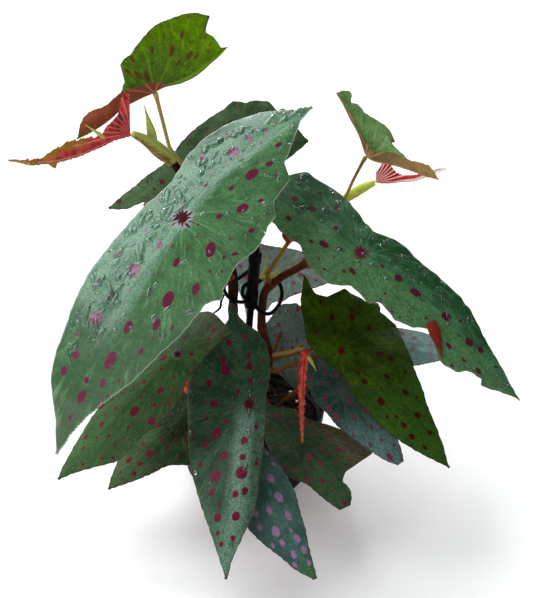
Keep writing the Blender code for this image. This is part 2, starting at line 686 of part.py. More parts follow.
def stalk_line(leaf):
    """The stalk's centre line, from inside the blade to its stem."""
    at = lengths(leaf["midrib"])[leaf["heart"]]
    middle, _, _, up = frames(leaf, [at])
    stalk = leaf["stalk"]
    drop = stalk.get("drop", 5)
    line = [middle[0], middle[0] - drop * up[0], *[np.array(point, float) for point in stalk["via"]]]
    if stalk["on"] == "mix":
        x, y, z = stalk["foot"]
        return [*line, np.array((x, y, z + 9), float), np.array((x, y, z), float)]
    axis, direction, radius = stem_point(stalk["on"], stalk["height"])
    out = line[-1] - axis
    out = unit(out - direction * np.dot(out, direction))
    return [*line, axis + out * (radius + 2 * GAP + 3), axis + out * (radius + 2 * GAP)]


def build_leaf(name, leaf, home):
    body = blade(name, leaf, BLADE, home)
    radius = leaf["stalk"]["radius"]
    extras = [tube(name + "_stalk", stalk_line(leaf), (radius * 0.85, radius), home)]
    for i, (base, tip, width) in enumerate(leaf.get("slivers", [])):
        extras.append(sliver(f"{name}_scale_{i + 1}", base, tip, width, home))
    coloured(fused(body, extras), leaf["colour"])


def build_young(name, leaf, home):
    body = blade(name, leaf, YOUNG_BLADE, home)
    extras = []
    for i, (base, tip, width) in enumerate(leaf.get("slivers", [])):
        extras.append(sliver(f"{name}_scale_{i + 1}", base, tip, width, home))
    coloured(fused(body, extras) if extras else body, leaf["colour"])


def build_shoot(name, shoot, home):
    body = tube(name, shoot["line"], shoot["radius"], home)
    extras = []
    for i, (base, tip, width) in enumerate(shoot["slivers"]):
        extras.append(sliver(f"{name}_scale_{i + 1}", base, tip, width, home))
    coloured(fused(body, extras) if extras else body, shoot["colour"])


def ring(name, centre, radius, axis, home):
    """A closed wire ring round a stem."""
    axis = unit(axis)
    across = unit(np.cross((0.0, 1.0, 0.0), axis))
    other = np.cross(axis, across)
    bm = bmesh.new()
    around, wire = 20, 6
    rings = []
    for i in range(around):
        turn = 2 * math.pi * i / around
        spoke = across * math.cos(turn) + other * math.sin(turn)
        loop = []
        for j in range(wire):
            roll = 2 * math.pi * j / wire
            point = np.array(centre) + spoke * (radius + CLIP_WIRE * math.cos(roll)) + axis * CLIP_WIRE * math.sin(roll)
            loop.append(bm.verts.new(point * MM))
        rings.append(loop)
    for i in range(around):
        for j in range(wire):
            following, beside = (i + 1) % around, (j + 1) % wire
            bm.faces.new((rings[i][j], rings[following][j], rings[following][beside], rings[i][beside]))
    bmesh.ops.recalc_face_normals(bm, faces=bm.faces[:])
    mesh = bpy.data.meshes.new(name)
    bm.to_mesh(mesh)
    bm.free()
    return add_object(name, mesh, home)


def build_clip(home):
    x, y, _ = STEMS["stake"]["line"][0]
    bore = STEMS["stake"]["radius"][0] + GAP
    profile = [(bore, CLIP_FOOT), (bore, CLIP_TOP), (CLIP_RADIUS, CLIP_TOP), (CLIP_RADIUS, CLIP_FOOT)]
    sleeve = turned("support_clip", profile, 20, home)
    sleeve.location = (x * MM, y * MM, 0)
    bpy.context.view_layer.update()
    applied(sleeve)
    for vertex in sleeve.data.vertices:
        vertex.co.x += x * MM
        vertex.co.y += y * MM
    sleeve.location = (0, 0, 0)
    extras = [ring(f"clip_ring_{i + 1}", r["centre"], r["radius"], r["axis"], home) for i, r in enumerate(CLIP_RINGS)]
    extras.append(tube("clip_tail", CLIP_TAIL, (0.6, 0.5), home))
    coloured(fused(sleeve, extras), (0.012, 0.014, 0.013), 0.4)


def main():
    for obj in list(bpy.data.objects):
        bpy.data.objects.remove(obj)
    home = collection_of(NAME)
    hidden = collection_of("cutters", hidden=True)
    build_pot(home, hidden)
    build_mix(home, hidden)
    for name, stem in STEMS.items():
        coloured(tube(name, stem["line"], stem["radius"], home, STEM_SAMPLES), stem["colour"])
    build_clip(home)
    for name, leaf in LEAVES.items():
        build_leaf(name, leaf, home)
    for name, leaf in YOUNG.items():
        build_young(name, leaf, home)
    for name, shoot in SHOOTS.items():
        build_shoot(name, shoot, home)


main()
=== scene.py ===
"""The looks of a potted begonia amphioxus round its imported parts: spotted wet leaves on their
stalks, canes with joints, pleated young leaves, a black stake with a wire clip, and a nursery pot."""

import math

import bmesh
import bpy
import numpy as np
from mathutils import Matrix, Vector


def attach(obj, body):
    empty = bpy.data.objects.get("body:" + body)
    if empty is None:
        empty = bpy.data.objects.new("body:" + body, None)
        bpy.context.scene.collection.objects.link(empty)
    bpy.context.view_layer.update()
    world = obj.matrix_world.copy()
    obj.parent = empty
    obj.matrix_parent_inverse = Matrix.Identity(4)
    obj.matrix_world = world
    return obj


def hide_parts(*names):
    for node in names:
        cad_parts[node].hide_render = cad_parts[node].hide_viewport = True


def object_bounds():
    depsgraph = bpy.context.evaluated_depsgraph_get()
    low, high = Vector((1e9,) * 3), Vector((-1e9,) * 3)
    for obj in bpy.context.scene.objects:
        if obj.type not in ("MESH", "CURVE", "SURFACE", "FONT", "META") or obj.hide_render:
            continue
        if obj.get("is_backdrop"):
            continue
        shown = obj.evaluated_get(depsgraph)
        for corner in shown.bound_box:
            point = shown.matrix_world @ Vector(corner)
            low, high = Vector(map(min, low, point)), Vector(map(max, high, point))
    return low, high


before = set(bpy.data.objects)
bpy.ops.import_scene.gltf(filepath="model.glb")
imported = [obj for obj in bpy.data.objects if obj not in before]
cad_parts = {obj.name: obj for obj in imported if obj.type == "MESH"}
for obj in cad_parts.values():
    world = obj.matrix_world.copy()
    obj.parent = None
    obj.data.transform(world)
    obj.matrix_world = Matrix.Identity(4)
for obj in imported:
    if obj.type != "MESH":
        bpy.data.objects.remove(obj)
CAD_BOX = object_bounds()

MM = 0.001
BODY = "root"

# Camera: the photograph's frame in pixels, and where the pot's centre stands in it.
# Its distance from there and the size of a pixel there are in millimetres.
IMAGE_WIDTH = 533
IMAGE_HEIGHT = 598
ORIGIN_PIXEL = (246, 466.5)
MM_PER_PIXEL = 0.561
DISTANCE = 750.0
PITCH = math.radians(25)
ROLL = math.radians(5.2)
SENSOR = 36.0

# Light: a dim room with a wide bright window over the plant's left, weaker ones in front of it
# and behind it, and one small lamp. The pairs are where a window begins and is full, as parts of
# the direction's unit vector. Lamp and floor are in metres and watts.
ROOM_COLOUR = (0.94, 0.97, 1.0)
ROOM_STRENGTH = 0.20
WINDOW_STRENGTH = 3.1
WINDOW_SLANT = 0.8
WINDOW_EDGE = (-0.06, 0.10)
WINDOW_LEFT = (-0.02, -0.12)
WINDOW_HIGH = (0.10, 0.62)
FRONT_STRENGTH = 0.75
FRONT_NEAR = (-0.45, -0.9)
FRONT_LOW = (0.75, 0.35)
BACK_STRENGTH = 1.3
BACK_FAR = (0.5, 0.8)
BACK_RIGHT = (-0.3, 0.2)
LAMP_WAY = (-0.25, 0.80, 0.55)
LAMP_DISTANCE = 1.3
LAMP_SIZE = 0.12
LAMP_WATTS = 2.5
LAMP_AIM = (-0.04, -0.06, 0.14)
FLOOR_HALF = 20.0
FLOOR_GLOW = 0.12
FLOOR_COLOURS = ((0.90, 0.90, 0.88), (0.92, 0.92, 0.90))

# Pot, in millimetres
POT_HEIGHT = 42.5
POT_TOP_RADIUS = 40.0
POT_BASE_RADIUS = 33.0
POT_WALL = 1.4
POT_FLOOR = 1.8
LIP_DEPTH = 6.0
LIP_STEP = 1.3
DRAIN_HOLES = 6
DRAIN_RADIUS = 3.0
DRAIN_AT = 20.0
DRAIN_CUT = 9.0
LIP_ROUND = 0.45
WALL_RINGS = 44
POT_STEPS = 144

# Potting mix: a bed with soft lumps, and crumbs of bark and stone on it. Each kind of crumb has
# its two colours and grain, its number, its smallest and largest radius, and its flatness.
MIX_EDGE_HEIGHT = 36.5
MIX_CENTRE_HEIGHT = 39.0
MIX_CLEAR = 0.4
MIX_SEED = 29
MIX_STEPS = 96
MIX_RINGS = 30
MIX_LUMPS = ((0.55, 7), (0.35, 3.2))
CRUMBS = {
    "mix_bark": {
        "skin": ("bark", (0.003, 0.002, 0.001), (0.032, 0.016, 0.008), 0.7),
        "count": 230, "sizes": (0.8, 2.4), "flat": 0.45,
    },
    "mix_perlite": {
        "skin": ("perlite", (0.42, 0.41, 0.38), (0.75, 0.74, 0.70), 1.1),
        "count": 34, "sizes": (0.6, 1.4), "flat": 0.85,
    },
}

# Black plastics: colour, worn colour and roughness
POT_PLASTIC = ((0.004, 0.004, 0.005), (0.014, 0.013, 0.012), 0.45)
BLACK_PLASTIC = ((0.001, 0.001, 0.001), (0.004, 0.004, 0.004), 0.4)

# Stems: centre line from the foot up, and radius at its foot and tip. A cane also has the heights
# of its joints and three colours: at its foot, at its top and of its streaks.
STEMS = {
    "cane_left": {
        "line": [
            (-11, -2, 18), (-11, -2, 42), (-11.8, -2, 62), (-13.8, -3, 92), (-17.2, -3, 124),
            (-24, -2, 143), (-36, 0, 159), (-50, 2, 174),
        ],
        "radius": (2.6, 2.1),
        "joints": (46, 64, 82, 98, 108, 113, 118, 137, 152, 169),
        "skin": ((0.004, 0.001, 0.0005), (0.026, 0.008, 0.002), (0.020, 0.005, 0.001)),
    },
    "cane_right": {
        "line": [
            (5, 3, 18), (5, 3, 42), (6.6, 3, 72), (2, 2, 86), (1, 2, 99), (2, 2.5, 108), (8, 5, 114),
            (22, 8, 124), (31, 9, 138), (38.5, 10, 160),
        ],
        "radius": (2.7, 1.8), "joints": (45, 51, 68, 86, 111, 124, 141, 157),
        "skin": ((0.013, 0.003, 0.001), (0.056, 0.012, 0.003), (0.13, 0.040, 0.008)),
    },
    "stake": {"line": [(-5, 0, 18), (-5, 0, 82), (-5, 0, 146)], "radius": (1.9, 1.9)},
}

# Joints of the canes: height and width of the swelling, depth and width of the groove in it,
# and width of the ring scar
SWELLING = (0.2, 2.6)
GROOVE = (0.05, 0.5)
SCAR_WIDTH = 1.1
FINE_STEPS = 200

# Support clip: a sleeve on the stake, three bent loops of wire round the canes, and a loose tail
CLIP_FOOT = 99.0
CLIP_TOP = 131.0
CLIP_RADIUS = 3.5
CLIP_CLEAR = 0.2
CLIP_WAIST = 0.45
CLIP_WIRE = 1.0
CLIP_LOOPS = (
    [
        (-5.6, -3.6, 104.2), (-10.7, -6.5, 104.3), (-15.5, -7.0, 105.8), (-18.7, -5.5, 108.3),
        (-19.8, -2.5, 110.0), (-17.6, 1.6, 111.7), (-13.0, 3.4, 113.0), (-10.3, 2.5, 115.9),
        (-6.8, -0.5, 121.0),
    ],
    [
        (-4.2, -1.5, 104.2), (-1.6, -3.5, 100.3), (1.8, -4.0, 98.0), (5.5, -2.5, 97.3),
        (8.9, -0.5, 100.3), (10.8, 2.0, 104.8), (10.0, 5.5, 109.6), (7.6, 8.6, 112.0),
        (3.7, 9.5, 113.0), (0.1, 7.5, 112.4), (-3.4, 2.6, 111.2),
    ],
    [(-6.4, -2.8, 114.6), (-9.6, -3.0, 111.5), (-9.8, -3.5, 107.7), (-6.9, -3.0, 103.9)],
)
CLIP_TAIL = [(-19.5, -4.5, 107), (-20.5, -6, 104), (-21, -7, 100), (-24, -7.5, 97)]
CLIP_TAIL_WIRE = (0.75, 0.65, 0.6, 0.45)

# Leaves: a blade's curl is counted over CURL_WIDTH, its widths stand at STATIONS from tip to tip,
# and its stalk joins at point HEART_AT of the midrib. Half thicknesses are those in the middle
# and at the margin. Jags are a count along the margin and a height.
CURL_WIDTH = 30.0
LEAST_WIDTH = 0.6
STATIONS = (0, 0.04, 0.1, 0.18, 0.27, 0.36, 0.45, 0.55, 0.65, 0.75, 0.85, 0.93, 1)
HEART_AT = 2
VEINS = 5
GRID_STEP = 1.1
BLADE_HALF = (0.34, 0.14)
YOUNG_HALF = (0.5, 0.3)
MARGIN_JAG = ((19, 0.12), (31, 0.1))
QUILT = 0.12
QUILT_WIDTH = 1.6
LUMPS = 0.3
LUMP_SIZE = 17
RUFFLE = 0.25
RUFFLE_SIZE = 9
CLOUD_WAVES = 7

# Stalks: how deep they start in the blade, how far they then drop, how they widen to both ends
# (by how much and over what length), and how they meet the stem or the mix
STALK_SHARE = 0.9
STALK_START = 0.15
STALK_DROP = 5
STALK_FLARES = ((0.8, 2.6), (0.5, 3.5))
STALK_CLEAR = 3.6
STALK_SUNK = 0.4
STALK_RISE = 9
STALK_SOFT = 0.06

# Bud scales and flaps: rows and columns of their grid, half thickness and least half width
SCALE_GRID = (18, 9)
SCALE_HALF = 0.2
SCALE_LEAST = 0.12

# Spots that no list gives: spacing, smallest and largest radius. Where a list gives the large
# spots, only small ones are strewn between them, and none of them comes near the heart.
DOTS = (5.5, 0.5, 2.0)
SPARSER = 9.0
STREWN_LARGEST = 0.8
HEART_CLEAR = 7
SPOT_OVAL = (1.3, 1.3)
SPOT_SCALE = 0.97
SPOT_MARGIN = 0.8

# Water on the leaves: the material of each kind, how much of the light its surface sends back,
# and the refractive index of that surface. A drop's profile is a share of its width and height.
WATERS = {
    "drops": ("water", 0.35, 1.6), "glints": ("bright_water", 1.0, 1.8), "beads": ("dull_water", 0.0, 1.5),
}
# The water's green tint darkens the leaf seen through a drop: painted shade where the water hides the
# sheen.
WATER_COLOUR = (0.40, 0.60, 0.46)
WATER_INDEX = 1.6
DROP_SIDES = 14
DROP_PROFILE = ((1.0, -0.15), (1.0, 0.12), (0.93, 0.42), (0.76, 0.7), (0.48, 0.92), (0.2, 0.995))

# Colours of the skins, as linear red, green and blue
BROWN_STALK = ((0.05, 0.014, 0.004), (0.12, 0.045, 0.010), (0.22, 0.11, 0.03))
OCHRE_STALK = ((0.34, 0.22, 0.05), (0.46, 0.34, 0.11), (0.55, 0.44, 0.2))
RED_OCHRE_STALK = ((0.10, 0.022, 0.004), (0.18, 0.105, 0.016), (0.21, 0.10, 0.02))
LEAF_SCALE = ((0.42, 0.42, 0.08), (0.30, 0.20, 0.04), (0.5, 0.5, 0.15))
YOUNG_SCALE = ((0.45, 0.45, 0.1), (0.35, 0.3, 0.06), (0.55, 0.55, 0.2))
FLAP = ((0.15, 0.016, 0.008), (0.12, 0.012, 0.006), (0.24, 0.035, 0.014))
SOIL = ((0.002, 0.001, 0.001), (0.010, 0.006, 0.004), (0.018, 0.011, 0.006))


def paint(dark, light, spot, rim=(0.06, 0.04, 0.03), **more):
    """One leaf's colours. Its veins are paler than its skin, and its spots darker in the middle."""
    return {
        "dark": dark, "light": light, "vein": tuple(1.7 * part for part in light),
        "spot": spot, "spot_dark": tuple(0.55 * part for part in spot), "spot_share": 1.0,
        "vein_share": 0.13, "near_share": 0.12, "streaks": 0.5, "rim": rim, "stalk": BROWN_STALK,
        "heart": (0.10, 0.003, 0.012), "star": 1.0, "star_reach": (2.4, 3.4, 6.2),
        "halo": (0.22, 0.20, 0.20), "halo_share": 0.25,
        "rough": 0.5, "specular": 0.1, "coat": 0.0, "coat_rough": 0.22,
        "under": (0.16, 0.022, 0.014), "under_light": (0.24, 0.045, 0.022), **more,
    }


LOOKS = {
    # Under the left half's painted sheen, the spots take a pale painted reflection too.
    "sheen": paint(
        (0.060, 0.165, 0.055), (0.120, 0.285, 0.115), (0.18, 0.010, 0.050), (0.42, 0.44, 0.38),
        coat=0.7, coat_rough=0.15, veil=(0.42, 0.27, 0.38), halo=(0.40, 0.37, 0.44), halo_share=0.75,
        heart=(0.075, 0.001, 0.008), star_reach=(3.0, 4.0, 7.0), near_share=0.35,
    ),
    # Its dark ring round the heart is painted shade.
    "deep": paint(
        (0.022, 0.084, 0.030), (0.060, 0.180, 0.078), (0.085, 0.005, 0.019), (0.16, 0.10, 0.08),
        coat=0.06, heart=(0.090, 0.002, 0.016), halo=(0.010, 0.028, 0.010), halo_share=0.6,
        star_reach=(2.4, 3.0, 4.8),
    ),
    "soft": paint((0.026, 0.062, 0.020), (0.052, 0.105, 0.038), (0.12, 0.018, 0.020)),
    # Its yellow-green stands partly for light shining through the thin young leaf: painted light.
    "bright": paint(
        (0.078, 0.155, 0.0012), (0.145, 0.295, 0.003), (0.14, 0.060, 0.014), stalk=OCHRE_STALK,
        specular=0.04, vein_share=0.3, near_share=0.3, under=(0.24, 0.048, 0.014),
        under_light=(0.34, 0.085, 0.026),
    ),
    "pale": paint(
        (0.125, 0.240, 0.066), (0.210, 0.380, 0.130), (0.16, 0.04, 0.03), spot_share=0.6,
        stalk=((0.14, 0.08, 0.02), (0.30, 0.20, 0.05), (0.38, 0.27, 0.09)), under=(0.23, 0.112, 0.038),
        under_light=(0.33, 0.205, 0.07),
    ),
    "olive": paint(
        (0.014, 0.032, 0.0005), (0.042, 0.090, 0.002), (0.045, 0.003, 0.001), (0.03, 0.02, 0.008),
        streaks=0.22, specular=0.05, heart=(0.06, 0.002, 0.002), halo=(0.04, 0.008, 0.003),
        halo_share=0.5, star_reach=(1.5, 2.0, 3.0),
    ),
    "dark": paint(
        (0.015, 0.046, 0.020), (0.042, 0.106, 0.048), (0.15, 0.004, 0.030), (0.10, 0.04, 0.03),
        coat=0.15, heart=(0.06, 0.002, 0.008), halo_share=0.1, star_reach=(2.2, 3.0, 4.2),
    ),
    "brown_green": paint(
        (0.027, 0.080, 0.022), (0.062, 0.154, 0.046), (0.17, 0.012, 0.036), halo=(0.30, 0.28, 0.32),
        halo_share=0.4, star_reach=(1.6, 2.2, 3.8), heart=(0.06, 0.002, 0.008),
    ),
    "brown": paint(
        (0.024, 0.054, 0.020), (0.062, 0.122, 0.046), (0.16, 0.02, 0.032), star=0.0, near_share=0.02,
        vein_share=0.05, specular=0.03,
    ),
    "blue": paint(
        (0.032, 0.082, 0.066), (0.066, 0.146, 0.122), (0.34, 0.165, 0.31), (0.12, 0.03, 0.05), star=0.0,
    ),
    "shade": paint((0.013, 0.040, 0.014), (0.042, 0.084, 0.030), (0.17, 0.025, 0.055), star=0.0),
    "shade_blue": paint((0.018, 0.048, 0.032), (0.048, 0.100, 0.074), (0.17, 0.04, 0.09), star=0.2),
    "grey_blue": paint(
        (0.215, 0.340, 0.285), (0.365, 0.525, 0.450), (0.44, 0.11, 0.21), stalk=OCHRE_STALK, star=0.0,
    ),
    "grey": paint((0.078, 0.124, 0.098), (0.162, 0.228, 0.184), (0.20, 0.07, 0.10), star=0.0),
    "pale_blue": paint((0.155, 0.280, 0.250), (0.260, 0.410, 0.380), (0.36, 0.15, 0.21), star=0.0),
}

# Colours of the folded young leaves, with the reach from which their frills turn pale
RED_PLEATS = {
    "dark": (0.27, 0.021, 0.025), "light": (0.60, 0.052, 0.046), "deep": (0.50, 0.015, 0.05),
    "vein": (0.75, 0.42, 0.32), "vein_width": 0.11, "vein_share": 0.55,
    "frill": (0.27, 0.14, 0.008), "frill_from": (18.0, 26.0), "frill_edge": (5.5, 2.6),
}
PINK_PLEATS = {
    "dark": (0.50, 0.014, 0.020), "light": (0.72, 0.06, 0.05), "deep": (0.40, 0.010, 0.02),
    "vein": (0.97, 0.82, 0.76), "vein_width": 0.24, "vein_share": 0.9,
    "frill": (0.5, 0.3, 0.2), "frill_from": (60.0, 70.0),
}
RED_FRILLS = {
    "dark": (0.32, 0.014, 0.018), "light": (0.78, 0.070, 0.050), "deep": (0.42, 0.16, 0.02),
    "vein": (0.60, 0.20, 0.10), "vein_width": 0.2, "vein_share": 0.3,
    "frill": (0.42, 0.16, 0.03), "frill_from": (80.0, 90.0),
}

